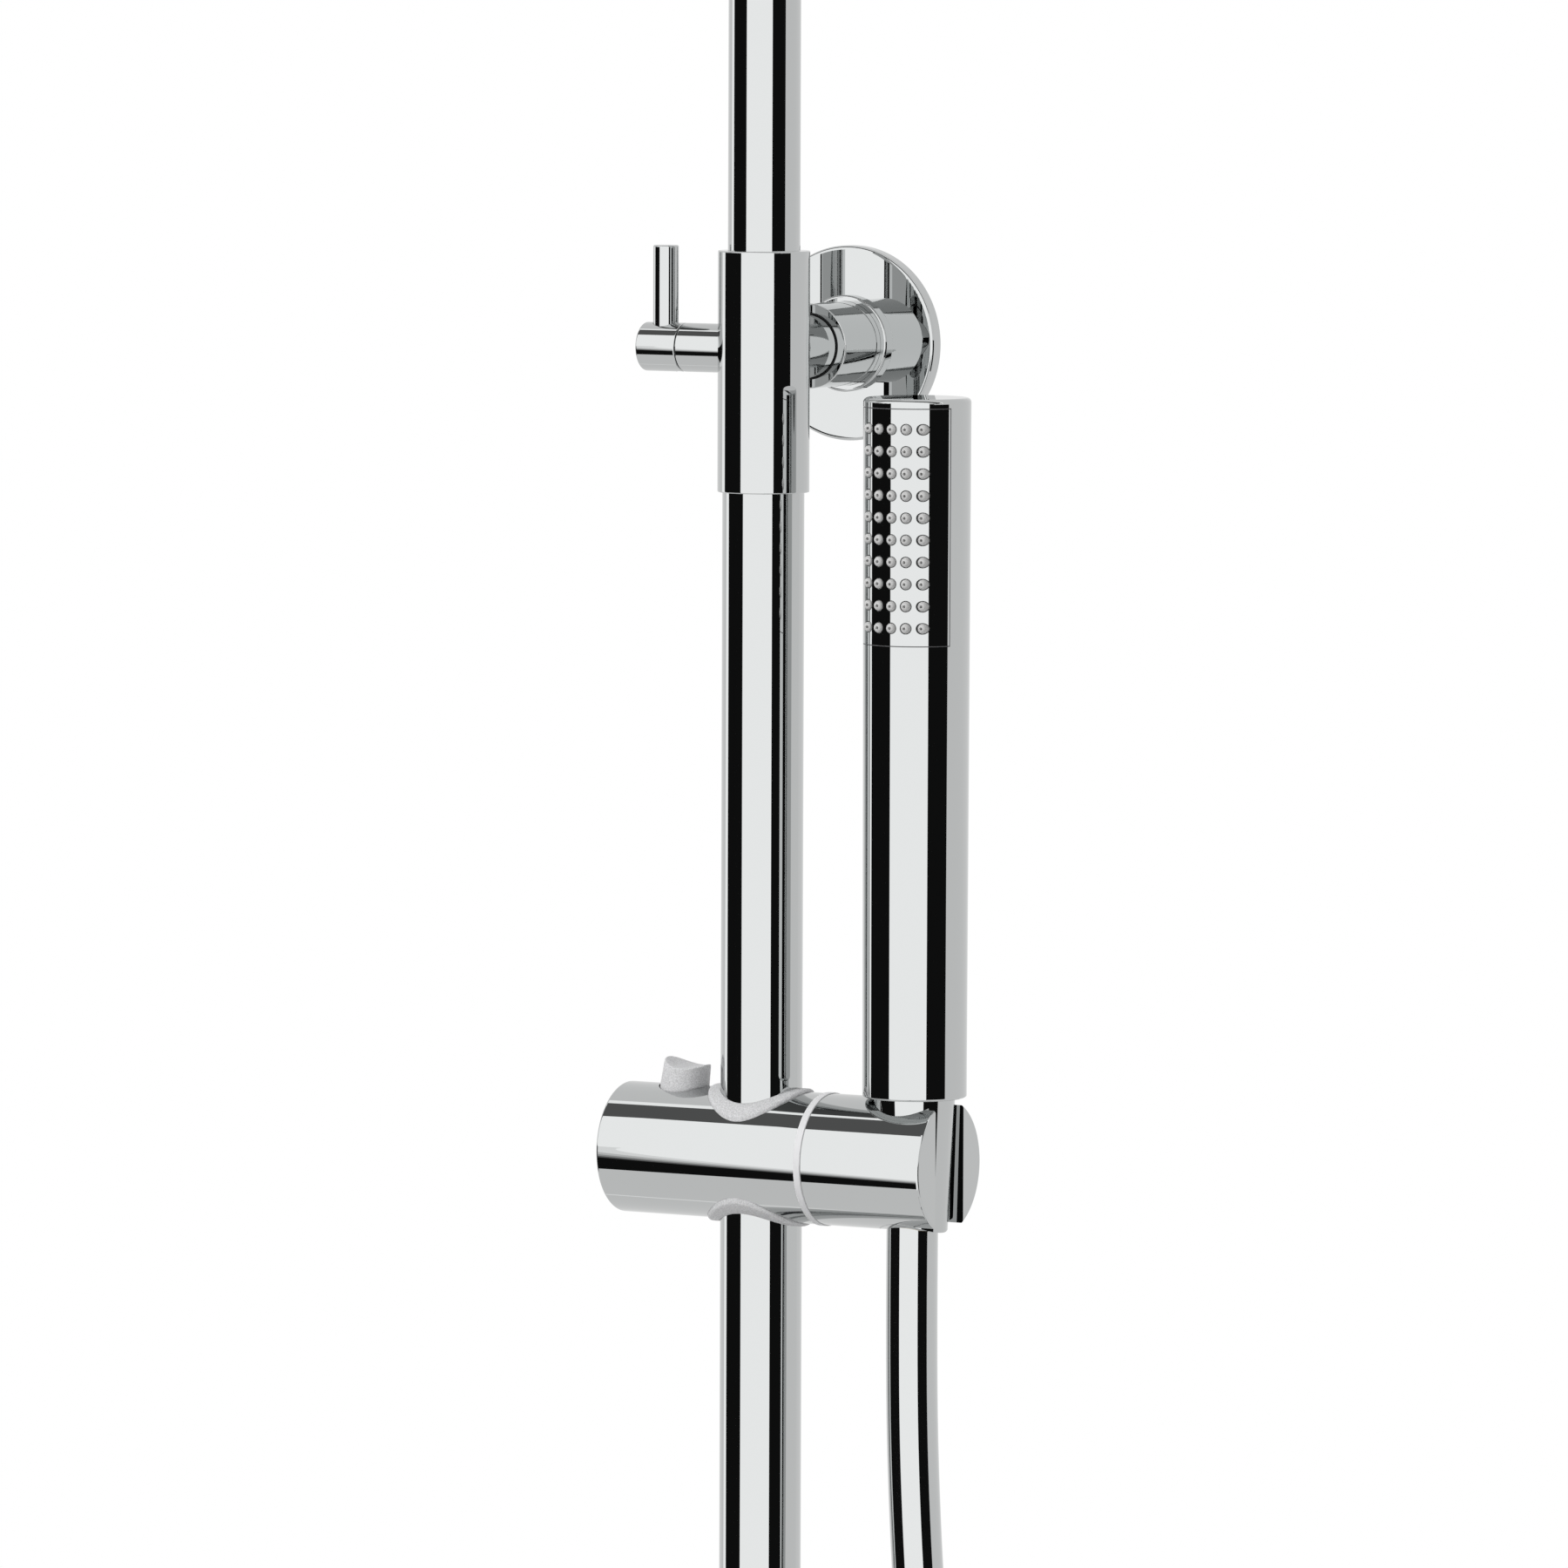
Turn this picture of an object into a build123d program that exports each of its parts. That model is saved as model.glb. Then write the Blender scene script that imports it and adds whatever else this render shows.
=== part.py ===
from build123d import *
import math
import os

# Shower rail set with a diverter, a slide holder and a stick hand shower.
# Millimetres, +Z up. The origin is on the wall, on the axis of the water inlet.
# +Y goes into the wall, and +X is to the right of someone who faces it.

# Clearances between pieces
FIT_GAP = 0.05          # radial, between pieces that are fixed together
RUN_GAP = 0.05          # radial, between pieces that turn or slide on each other
FACE_GAP = 0.3          # between faces of pieces that move past each other
SEAL_GAP = 0.02         # radial, between a ring seal and its seat
OVERCUT = 1.0           # how far a cut runs past the face that it opens

# Rail and riser
RAIL_OUT = 57.5         # rail axis from the wall
RISER_D = 22.0
RISER_WALL = 1.0
RISER_TOP = 135.0       # above the inlet axis
RISER_DEPTH = 18.0      # riser in its socket
RAIL_D = 25.0
RAIL_WALL = 1.2
RAIL_BOTTOM = 430.0     # below the inlet axis
RAIL_DEPTH = 18.0       # rail in its socket
RAIL_SEAL = 1.0
CAP_HEAD = 3.0
CAP_PLUG = 12.0
CAP_EDGE = 1.0
O_RING = 1.6            # section of the ring seals
GROOVE_SIDE = 0.3       # spare width of a seal groove, each side

# Diverter
BODY_WALL = 1.45        # round the rail
BODY_TOP = 30.0         # above the inlet axis
BODY_BOTTOM = 43.3      # below the inlet axis
BODY_EDGE = 0.4
WATERWAY_D = 8.0
PLUG_D = 9.0
PLUG_LENGTH = 10.4
PLUG_WEB = 2.8
PORT_D = 4.4
LINER_WALL = 1.65
LINER_END = 3.2
NECK_WALL = 1.2         # of the neck beyond the liner
NECK_END = 27.0         # from the rail axis
SPINDLE_D = 5.0
HUB_LENGTH = 13.6
HUB_EDGE = 0.6
STICK_D = 7.8
STICK_OUT = 7.2         # stick axis beyond the neck
STICK_TOP = 31.0        # above the lever axis
STICK_EDGE = 0.5
SET_SCREW_D = 3.0

# Wall bracket
INLET_D = 20.96         # half inch pipe thread
INLET_LENGTH = 14.0     # in the wall
INLET_BORE = 13.0
THREAD_RELIEF = 0.25    # radial, where a thread ends
NIPPLE_WALL = 1.9       # round the spigot
SLEEVE_WALL = 2.72
SLEEVE_FRONT = 29.5     # from the wall
SLEEVE_OVER = 2.0       # sleeve in front of the nipple
WIPER_IN = 0.5          # wiper ring behind the sleeve's front
WIPER_WALL = 0.5        # radial space of the wiper ring
SPIGOT_STEP = 4.5       # spigot rim in front of the sleeve
SPIGOT_DEPTH = 12.5     # spigot in the nipple
STEM_D = 13.4
STEM_DEPTH = 6.5        # stem in the diverter body
ROSE_D = 60.0
ROSE_THICK = 4.7
ROSE_SKIN = 1.5
ROSE_EDGE = 1.2
RING_WALL = 1.8
RING_THICK = 2.5
RING_EDGE = 0.8

# Slide holder
SLIDER_DOWN = 245.8     # its axis below the inlet axis
COLLAR_WALL = 1.6
COLLAR_HEIGHT = 18.0
BUSH_WALL = 3.7
BUSH_PROUD = 1.0        # above the clamp's surface
BUSH_EDGE = 1.1
CLAMP_SIDE = 3.75        # beside the bush
CLAMP_EDGE = 0.8
PIVOT_WALL = 5.85        # between the bush and the washer
END_WALL = 12.2         # beyond the button
BUTTON_D = 15.0
BUTTON_TOP_D = 14.2
BUTTON_GAP = 0.4
BUTTON_WALL = 2.55      # between the button and the bush
BUTTON_LEAN = 8.0       # degrees towards the rail
BUTTON_UP = 7.8         # above the clamp's crown
BUTTON_DEPTH = 22.0     # below the clamp's crown
BUTTON_DISH = 14.0      # radius of the hollow in its top
BUTTON_EDGE = 0.4
BUTTON_STROKE = 4.0
SPRING_HEIGHT = 7.0
SPRING_WIRE = 1.0
SPRING_TURNS = 4
PIN_D = 6.0
PIN_REACH = 5.0         # pin in the button's pocket
PIN_WEB = 2.0           # of the button under the pin
PIN_STROKE = 1.0
WASHER_THICK = 2.4
WASHER_PROUD = 0.3
WASHER_GAP = 0.1
SCREW_D = 8.0
SCREW_HEAD_D = 13.0
SCREW_HEAD = 4.0
SCREW_DEPTH = 5.2       # screw in the clamp
SCREW_KEY = 5.0
DISC_THICK = 1.2
HOLDER_WEB = 7.0        # holder under the screw head
HOLDER_BACK = 16.0      # between the washer and the seat
HOLDER_LIP = 12.1       # seat axis to the open end
SEAT_TOP_D = 24.8
SEAT_BOTTOM_D = 20.6
SEAT_GAP = 0.1

# Hand shower
HANDSET_TOP_D = 32.65
HANDSET_FOOT_D = 31.65
HANDSET_LENGTH = 211.9
HANDSET_LIFT = 0.7      # above the holder's crown
HANDSET_WALL = 1.8
HANDSET_EDGE = 1.5
FOOT_EDGE = 0.8
PANEL_ANGLE = 67.0      # each side of the front
PANEL_DOWN = 2.7
PANEL_ABOVE = 6.3       # above the first nozzles
PANEL_BELOW = 5.6       # below the last nozzles
PANEL_SEAM = 0.3
PLATE_THICK = 1.2
MAT_THICK = 1.5
MAT_INSET = 1.2
TRAY_FLOOR = 3.0
TRAY_WALL = 1.5
NOZZLE_ROWS = 10
NOZZLE_COLUMNS = 5
NOZZLE_PITCH = 6.65
NOZZLE_STEP = 4.6       # between columns
NOZZLE_D = 3.0
NOZZLE_TIP_D = 2.2
NOZZLE_PROUD = 1.0
NOZZLE_GAP = 0.25
HANDSET_PIPE_D = 12.0
HANDSET_PIPE_WALL = 1.5
INLET_FLANGE = 8.0
TAIL_D = 20.8
TAIL_LENGTH = 12.0
TAIL_WASHER = 2.0

# Hose
HOSE_D = 15.7
HOSE_LENGTH = 1500.0
HOSE_CORE_D = 8.0
SLOT_GAP = 1.1
BEND_SHARE = 0.45       # of a run of the route, for a bend at its end
COIL_TURNS = 2.5
COIL_GAP = 0.4          # between turns
COIL_DOWN = 246.0       # coil axis below the slider axis
TAIL_UP = 52.0          # hose above the coil axis at its free end
TIE_WIDTH = 12.0
TIE_THICK = 1.5
TIE_GAP = 0.6
FERRULE_WALL = 1.0
FERRULE_LENGTH = 22.0
FERRULE_FLANGE = 2.5
NUT_WALL = 1.8
NUT_LENGTH = 19.0
NUT_LIP = 3.0
NUT_SIDES = 6
NUT_EDGE = 1.0
CRIMPS = 3
CRIMP_PITCH = 4.0
CRIMP_DEPTH = 0.5

# Route of the hose from the holder down to its coil, from the holder's seat
# at the slider axis. The last point is where the coil starts.
HOSE_ROUTE = [
    (-0.5, 0.0, -12.0),
    (-0.8, 0.0, -55.0),
    (0.2, 0.0, -100.0),
    (3.6, 0.0, -150.0),
    (5.8, 0.2, -198.0),
    (6.0, 0.0, -246.0),
]

# Places worked out from the sizes above
RAIL_Y = -RAIL_OUT
RISER_R = RISER_D / 2
RAIL_R = RAIL_D / 2
BODY_R = RAIL_R + FIT_GAP + BODY_WALL
LINER_R = PLUG_D / 2 + RUN_GAP + LINER_WALL
NECK_R = LINER_R + FIT_GAP + NECK_WALL
LINER_IN = PLUG_LENGTH / 2 + FACE_GAP
LINER_OUT = LINER_IN + LINER_END
SPINDLE_R = SPINDLE_D / 2
HUB_START = NECK_END + FACE_GAP
HUB_END = HUB_START + HUB_LENGTH
STICK_X = -(NECK_END + STICK_OUT)
INLET_R = INLET_D / 2
NIPPLE_R = INLET_R - THREAD_RELIEF
SPIGOT_R = NIPPLE_R - NIPPLE_WALL - FIT_GAP
SLEEVE_BORE_R = NIPPLE_R + FIT_GAP
SLEEVE_R = SLEEVE_BORE_R + SLEEVE_WALL
NIPPLE_FRONT = SLEEVE_FRONT - SLEEVE_OVER
SPIGOT_RIM_R = SLEEVE_BORE_R - WIPER_WALL
SPIGOT_FRONT = SLEEVE_FRONT + SPIGOT_STEP
RING_R = SLEEVE_R + FIT_GAP + RING_WALL
SLIDER_Z = -SLIDER_DOWN
COLLAR_R = RAIL_R + RUN_GAP + COLLAR_WALL
BUSH_R = RAIL_R + RUN_GAP + BUSH_WALL
CLAMP_R = BUSH_R + FIT_GAP + CLAMP_SIDE
BUTTON_X = -(BUSH_R + FIT_GAP + BUTTON_WALL + BUTTON_GAP + BUTTON_D / 2)
CLAMP_LEFT = BUTTON_X - BUTTON_D / 2 - BUTTON_GAP - END_WALL
CLAMP_RIGHT = BUSH_R + FIT_GAP + PIVOT_WALL
HOLDER_START = CLAMP_RIGHT + WASHER_THICK + WASHER_GAP
SEAT_X = HOLDER_START + HOLDER_BACK + SEAT_TOP_D / 2
HOLDER_END = SEAT_X + HOLDER_LIP
HANDSET_FOOT = SLIDER_Z + CLAMP_R + HANDSET_LIFT
HANDSET_TOP = HANDSET_FOOT + HANDSET_LENGTH
PANEL_TOP = HANDSET_TOP - PANEL_DOWN
PANEL_HEIGHT = PANEL_ABOVE + (NOZZLE_ROWS - 1) * NOZZLE_PITCH + PANEL_BELOW
PANEL_FOOT = PANEL_TOP - PANEL_HEIGHT
HOSE_R = HOSE_D / 2
TAIL_END = HANDSET_FOOT - TAIL_LENGTH
WASHER_END = TAIL_END - TAIL_WASHER
COIL_X = SEAT_X + HOSE_ROUTE[-1][0]
COIL_Z = SLIDER_Z - COIL_DOWN
COIL_PITCH = HOSE_D + COIL_GAP
COIL_DRIFT = COIL_TURNS * COIL_PITCH
TAIL_X = COIL_X + COIL_DRIFT
TAIL_TOP = COIL_Z + TAIL_UP
UNION_R = INLET_R

BOTTOM = (Align.CENTER, Align.CENTER, Align.MIN)


def rod_x(start, end, radius, y=RAIL_Y, z=SLIDER_Z):
    """Round bar along X."""
    return Pos(start, y, z) * Rot(0, 90, 0) * Cylinder(radius, end - start, align=BOTTOM)


def rod_y(start, end, radius, x=0.0, z=0.0):
    """Round bar along Y."""
    return Pos(x, start, z) * Rot(-90, 0, 0) * Cylinder(radius, end - start, align=BOTTOM)


def rod_z(start, end, radius, x=0.0, y=RAIL_Y):
    """Round bar along Z."""
    return Pos(x, y, start) * Cylinder(radius, end - start, align=BOTTOM)


def round_ends(solid, axis, places, radius):
    """Round the circular edges that lie at the given places along an axis."""
    near = 0.01
    index = {Axis.X: 0, Axis.Y: 1, Axis.Z: 2}[axis]
    edges = [
        edge
        for edge in solid.edges().filter_by(GeomType.CIRCLE)
        if any(abs(tuple(edge.arc_center)[index] - place) < near for place in places)
    ]
    return fillet(edges, radius)


def groove_width():
    """Width of a seal groove."""
    return O_RING + 2 * GROOVE_SIDE


def riser_tube():
    """Riser pipe, with its foot in the diverter body."""
    foot = BODY_TOP - RISER_DEPTH
    tube = rod_z(foot, RISER_TOP, RISER_R)
    return tube - rod_z(foot, RISER_TOP, RISER_R - RISER_WALL)


def riser_seal_height():
    """Middle of the riser's seal groove."""
    return BODY_TOP - RISER_DEPTH / 2


def riser_o_ring():
    """Ring seal round the riser."""
    middle = RISER_R + SEAL_GAP + O_RING / 2
    return Pos(0, RAIL_Y, riser_seal_height()) * Torus(middle, O_RING / 2)


def diverter_body():
    """Upright body that joins the riser, the rail, the inlet and the diverter."""
    body = rod_z(-BODY_BOTTOM, BODY_TOP, BODY_R)
    body = round_ends(body, Axis.Z, (-BODY_BOTTOM, BODY_TOP), BODY_EDGE)
    riser_foot = BODY_TOP - RISER_DEPTH
    rail_head = RAIL_DEPTH + RAIL_SEAL - BODY_BOTTOM
    body -= rod_z(riser_foot, BODY_TOP + OVERCUT, RISER_R + FIT_GAP)
    body -= rod_z(-BODY_BOTTOM - OVERCUT, rail_head, RAIL_R + FIT_GAP)
    body -= rod_z(rail_head - OVERCUT, riser_foot + OVERCUT, WATERWAY_D / 2)
    groove = riser_seal_height()
    groove_r = RISER_R + O_RING + 2 * SEAL_GAP
    body -= rod_z(groove - groove_width() / 2, groove + groove_width() / 2, groove_r)
    body -= rod_x(-LINER_OUT - FIT_GAP, LINER_IN, LINER_R + FIT_GAP, z=0)
    body -= rod_x(-BODY_R - OVERCUT, -LINER_OUT - FIT_GAP, NECK_R + FIT_GAP, z=0)
    stem_end = RAIL_Y + BODY_R - STEM_DEPTH
    body -= rod_y(stem_end, RAIL_Y + BODY_R + OVERCUT, STEM_D / 2 + FIT_GAP)
    return body - rod_y(RAIL_Y, stem_end + OVERCUT, WATERWAY_D / 2)


def diverter_neck():
    """Fixed neck that holds the diverter's spindle."""
    neck = rod_x(-NECK_END, -LINER_OUT - FIT_GAP, NECK_R, z=0)
    neck = round_ends(neck, Axis.X, (-NECK_END,), HUB_EDGE / 2)
    neck -= rod_x(-NECK_END - OVERCUT, 0, SPINDLE_R + RUN_GAP, z=0)
    middle = spindle_seal_place()
    seal_r = SPINDLE_R + RUN_GAP + O_RING + 2 * SEAL_GAP
    half = groove_width() / 2
    return neck - rod_x(middle - half, middle + half, seal_r, z=0)


def spindle_seal_place():
    """Middle of the seal groove in the neck."""
    return -(NECK_END + LINER_OUT) / 2


def spindle_o_ring():
    """Ring seal round the spindle."""
    middle = SPINDLE_R + RUN_GAP + SEAL_GAP + O_RING / 2
    place = Pos(spindle_seal_place(), RAIL_Y, 0) * Rot(0, 90, 0)
    return place * Torus(middle, O_RING / 2)


def diverter_liner():
    """Sealing liner with ports to the inlet, the riser and the rail."""
    liner = rod_x(-LINER_OUT, LINER_IN, LINER_R, z=0)
    liner -= rod_x(-LINER_IN, LINER_IN + OVERCUT, PLUG_D / 2 + RUN_GAP, z=0)
    liner -= rod_x(-LINER_OUT - OVERCUT, 0, SPINDLE_R + RUN_GAP, z=0)
    liner -= rod_z(-LINER_R - OVERCUT, LINER_R + OVERCUT, PORT_D / 2)
    return liner - rod_y(RAIL_Y, RAIL_Y + LINER_R + OVERCUT, PORT_D / 2)


def diverter_spindle():
    """Spindle with a plug that joins the inlet to the riser or to the rail."""
    plug = rod_x(-PLUG_LENGTH / 2, PLUG_LENGTH / 2, PLUG_D / 2, z=0)
    scoop_length = PORT_D + 2 * RUN_GAP
    turn = Pos(0, RAIL_Y, 0) * Rot(45, 0, 0)
    for side in (1, -1):
        middle = side * (PLUG_WEB + PLUG_D) / 2
        plug -= turn * Pos(0, 0, middle) * Box(scoop_length, PLUG_D, PLUG_D)
    return plug + rod_x(-HUB_END + HUB_LENGTH / 4, -PLUG_LENGTH / 2, SPINDLE_R, z=0)


def stick_foot():
    """Height of the stick's foot in the hub."""
    return SPINDLE_R + FIT_GAP + RUN_GAP


def set_screw_x():
    """Place of the lever's set screw, beside the stick."""
    return (STICK_X + STICK_D / 2 - HUB_START) / 2


def lever_hub():
    """Turning hub of the lever."""
    hub = rod_x(-HUB_END, -HUB_START, NECK_R, z=0)
    hub = round_ends(hub, Axis.X, (-HUB_END,), HUB_EDGE)
    hub = round_ends(hub, Axis.X, (-HUB_START,), HUB_EDGE / 2)
    bore_end = -HUB_END + HUB_LENGTH / 4 - FIT_GAP
    hub -= rod_x(bore_end, -HUB_START + OVERCUT, SPINDLE_R + FIT_GAP, z=0)
    hub -= rod_z(stick_foot() - FIT_GAP, NECK_R + OVERCUT, STICK_D / 2 + FIT_GAP, x=STICK_X)
    return hub - rod_z(-NECK_R - OVERCUT, 0, SET_SCREW_D / 2 + FIT_GAP, x=set_screw_x())


def lever_stick():
    """Upright stick of the lever."""
    stick = rod_z(stick_foot(), STICK_TOP, STICK_D / 2, x=STICK_X)
    return round_ends(stick, Axis.Z, (STICK_TOP,), STICK_EDGE)


def lever_set_screw():
    """Set screw that holds the hub on its spindle."""
    head = -NECK_R + HUB_EDGE
    screw = rod_z(head, -SPINDLE_R - FIT_GAP, SET_SCREW_D / 2, x=set_screw_x())
    key = RegularPolygon(SET_SCREW_D / 4, 6)
    return screw - Pos(set_screw_x(), RAIL_Y, head) * extrude(key, SET_SCREW_D / 2)


def rail_tube():
    """Slide rail."""
    head = RAIL_DEPTH - BODY_BOTTOM
    foot = CAP_HEAD - RAIL_BOTTOM
    return rod_z(foot, head, RAIL_R) - rod_z(foot, head, RAIL_R - RAIL_WALL)


def rail_seal():
    """Flat seal between the rail and the diverter body."""
    foot = RAIL_DEPTH - BODY_BOTTOM
    seal = rod_z(foot, foot + RAIL_SEAL, RAIL_R)
    return seal - rod_z(foot, foot + RAIL_SEAL, RAIL_R - 2 * RAIL_WALL)


def rail_end_cap():
    """Plain plug in the foot of the rail."""
    face = CAP_HEAD - RAIL_BOTTOM
    cap = rod_z(-RAIL_BOTTOM, face, RAIL_R)
    cap = round_ends(cap, Axis.Z, (-RAIL_BOTTOM,), CAP_EDGE)
    return cap + rod_z(face, face + CAP_PLUG, RAIL_R - RAIL_WALL - FIT_GAP)


def spigot_groove():
    """Middle of the spigot's seal groove."""
    return -NIPPLE_FRONT + SPIGOT_DEPTH / 2


def inlet_spigot():
    """Stepped spigot that carries the diverter body on the bracket."""
    back = -NIPPLE_FRONT + SPIGOT_DEPTH
    stem_end = RAIL_Y + BODY_R - STEM_DEPTH
    spigot = rod_y(-SPIGOT_FRONT, back, SPIGOT_R)
    spigot += rod_y(-SPIGOT_FRONT, -NIPPLE_FRONT - FIT_GAP, SPIGOT_RIM_R)
    half = groove_width() / 2
    middle = spigot_groove()
    floor = SPIGOT_R - O_RING
    ring = rod_y(middle - half, middle + half, SPIGOT_R + OVERCUT)
    spigot -= ring - rod_y(middle - half, middle + half, floor)
    spigot += rod_y(stem_end, -SPIGOT_FRONT, STEM_D / 2)
    return spigot - rod_y(stem_end - OVERCUT, back + OVERCUT, WATERWAY_D / 2)


def spigot_o_ring():
    """Ring seal round the spigot."""
    middle = SPIGOT_R - O_RING / 2 + SEAL_GAP
    return Pos(0, spigot_groove(), 0) * Rot(90, 0, 0) * Torus(middle, O_RING / 2)


def inlet_wiper():
    """Soft ring that closes the gap between the spigot's rim and the sleeve."""
    front = WIPER_IN - SLEEVE_FRONT
    ring = rod_y(front, -NIPPLE_FRONT, SLEEVE_BORE_R - SEAL_GAP)
    return ring - rod_y(front - OVERCUT, -NIPPLE_FRONT + OVERCUT, SPIGOT_RIM_R + SEAL_GAP)


def wall_nipple():
    """Threaded nipple that screws into the pipe in the wall."""
    nipple = rod_y(-NIPPLE_FRONT, 0, NIPPLE_R) + rod_y(0, INLET_LENGTH, INLET_R)
    nipple -= rod_y(-NIPPLE_FRONT - OVERCUT, INLET_LENGTH + OVERCUT, INLET_BORE / 2)
    seat = SPIGOT_R + FIT_GAP
    return nipple - rod_y(-NIPPLE_FRONT - OVERCUT, -NIPPLE_FRONT + SPIGOT_DEPTH, seat)


def set_screw_y():
    """Place of the bracket's set screw."""
    return -(NIPPLE_FRONT + ROSE_THICK + RING_THICK) / 2


def bracket_sleeve():
    """Round sleeve over the nipple."""
    sleeve = rod_y(-SLEEVE_FRONT, 0, SLEEVE_R)
    sleeve = round_ends(sleeve, Axis.Y, (-SLEEVE_FRONT,), RING_EDGE / 2)
    sleeve -= rod_y(-SLEEVE_FRONT - OVERCUT, OVERCUT, SLEEVE_BORE_R)
    screw = rod_z(-SLEEVE_R - OVERCUT, 0, SET_SCREW_D / 2 + FIT_GAP, y=set_screw_y())
    return sleeve - screw


def bracket_set_screw():
    """Set screw that holds the sleeve on the nipple."""
    head = -SLEEVE_R + RING_EDGE / 2
    screw = rod_z(head, -NIPPLE_R, SET_SCREW_D / 2, y=set_screw_y())
    key = RegularPolygon(SET_SCREW_D / 4, 6)
    return screw - Pos(0, set_screw_y(), head) * extrude(key, SLEEVE_WALL / 3)


def bracket_ring():
    """Rounded ring where the sleeve meets the rose."""
    front = -ROSE_THICK - RING_THICK
    ring = rod_y(front, -ROSE_THICK, RING_R)
    ring = round_ends(ring, Axis.Y, (front,), RING_EDGE)
    return ring - rod_y(front - OVERCUT, 0, SLEEVE_R + FIT_GAP)


def rose_rib():
    """Radius of the rim round the rose's hole."""
    return SLEEVE_R + FIT_GAP + ROSE_SKIN


def wall_rose():
    """Round cover plate with a hollow back."""
    rose = rod_y(-ROSE_THICK, 0, ROSE_D / 2)
    rose = round_ends(rose, Axis.Y, (-ROSE_THICK,), ROSE_EDGE)
    hollow = rod_y(-ROSE_THICK + ROSE_SKIN, OVERCUT, ROSE_D / 2 - ROSE_SKIN)
    hollow -= rod_y(-ROSE_THICK, OVERCUT, rose_rib())
    rose -= hollow
    return rose - rod_y(-ROSE_THICK - OVERCUT, OVERCUT, SLEEVE_R + FIT_GAP)


def rose_seal():
    """Foam ring in the hollow of the rose."""
    outer = ROSE_D / 2 - ROSE_SKIN - FIT_GAP
    inner = (outer + rose_rib()) / 2
    front = -ROSE_THICK + ROSE_SKIN
    return rod_y(front, 0, outer) - rod_y(front, 0, inner)


def grip_collar():
    """Collar that grips the rail and lets the clamp turn round it."""
    foot = SLIDER_Z - COLLAR_HEIGHT / 2
    head = SLIDER_Z + COLLAR_HEIGHT / 2
    return rod_z(foot, head, COLLAR_R) - rod_z(foot, head, RAIL_R + RUN_GAP)


def button_axis():
    """Place and lean of the button, at the clamp's crown."""
    return Pos(BUTTON_X, RAIL_Y, SLIDER_Z + CLAMP_R) * Rot(0, BUTTON_LEAN, 0)


def pin_z():
    """Height of the lock pin."""
    button_foot = SLIDER_Z + CLAMP_R - BUTTON_DEPTH
    return button_foot + PIN_WEB + FACE_GAP + PIN_D / 2


def spring_floor():
    """Depth of the button's bore along its axis."""
    return BUTTON_DEPTH + SPRING_HEIGHT


def clamp_body():
    """Round clamp across the rail."""
    clamp = rod_x(CLAMP_LEFT, CLAMP_RIGHT, CLAMP_R)
    clamp = round_ends(clamp, Axis.X, (CLAMP_LEFT,), CLAMP_EDGE)
    far = 2 * CLAMP_R
    clamp -= rod_z(SLIDER_Z - far, SLIDER_Z + far, BUSH_R + FIT_GAP)
    depth = spring_floor() + far
    bore = Cylinder(BUTTON_D / 2 + BUTTON_GAP, depth, align=BOTTOM)
    clamp -= button_axis() * Pos(0, 0, -spring_floor()) * bore
    clamp -= rod_x(BUTTON_X, 0, PIN_D / 2 + RUN_GAP, z=pin_z())
    return clamp - rod_x(CLAMP_RIGHT - SCREW_DEPTH, CLAMP_RIGHT + OVERCUT, SCREW_D / 2 + FIT_GAP)


def bush(side):
    """Saddle-ended bush between the rail and the clamp."""
    start = COLLAR_HEIGHT / 2 + FACE_GAP
    end = CLAMP_R + BUSH_PROUD
    low, high = sorted((side * start, side * 2 * end))
    ring = rod_z(SLIDER_Z + low, SLIDER_Z + high, BUSH_R)
    saddle = ring & rod_x(-2 * BUSH_R, 2 * BUSH_R, end)
    curved = saddle.edges().filter_by(GeomType.CIRCLE, reverse=True).filter_by(GeomType.LINE, reverse=True)
    saddle = fillet(curved, BUSH_EDGE)
    return saddle - rod_z(SLIDER_Z + low - OVERCUT, SLIDER_Z + high + OVERCUT, RAIL_R + RUN_GAP)


def release_button():
    """Push button with a dished top and a pocket for the lock pin."""
    total = BUTTON_UP + BUTTON_DEPTH
    shank = Pos(0, 0, -BUTTON_DEPTH) * Cylinder(BUTTON_D / 2, BUTTON_DEPTH, align=BOTTOM)
    head = Cone(BUTTON_D / 2, BUTTON_TOP_D / 2, BUTTON_UP, align=BOTTOM)
    dish = Pos(0, 0, BUTTON_UP + BUTTON_DISH * math.cos(math.asin(BUTTON_TOP_D / 2 / BUTTON_DISH)))
    button = shank + head - dish * Rot(90, 0, 0) * Cylinder(BUTTON_DISH, 2 * total)
    rim = button.edges().filter_by(GeomType.CIRCLE, reverse=True).filter_by(GeomType.LINE, reverse=True)
    button = button_axis() * fillet(rim, BUTTON_EDGE)
    tall = PIN_D + BUTTON_STROKE + 2 * FACE_GAP
    wide = PIN_D + 2 * FACE_GAP
    middle = pin_z() + BUTTON_STROKE / 2
    deep = pin_start() - PIN_STROKE - FACE_GAP
    pocket_end = BUTTON_X + BUTTON_D
    pocket = Box(pocket_end - deep, wide, tall, align=(Align.MIN, Align.CENTER, Align.CENTER))
    return button - Pos(deep, RAIL_Y, middle) * pocket


def pin_start():
    """Left end of the lock pin, in the button's pocket."""
    return BUTTON_X + BUTTON_D / 2 - PIN_REACH


def lock_pin():
    """Pin that locks the grip collar."""
    end = -math.sqrt((COLLAR_R + FACE_GAP) ** 2 - (PIN_D / 2) ** 2)
    pin = rod_x(pin_start(), end, PIN_D / 2, z=pin_z())
    return pin - rod_z(pin_z() - PIN_D, pin_z() + PIN_D, COLLAR_R + FACE_GAP)


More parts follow.
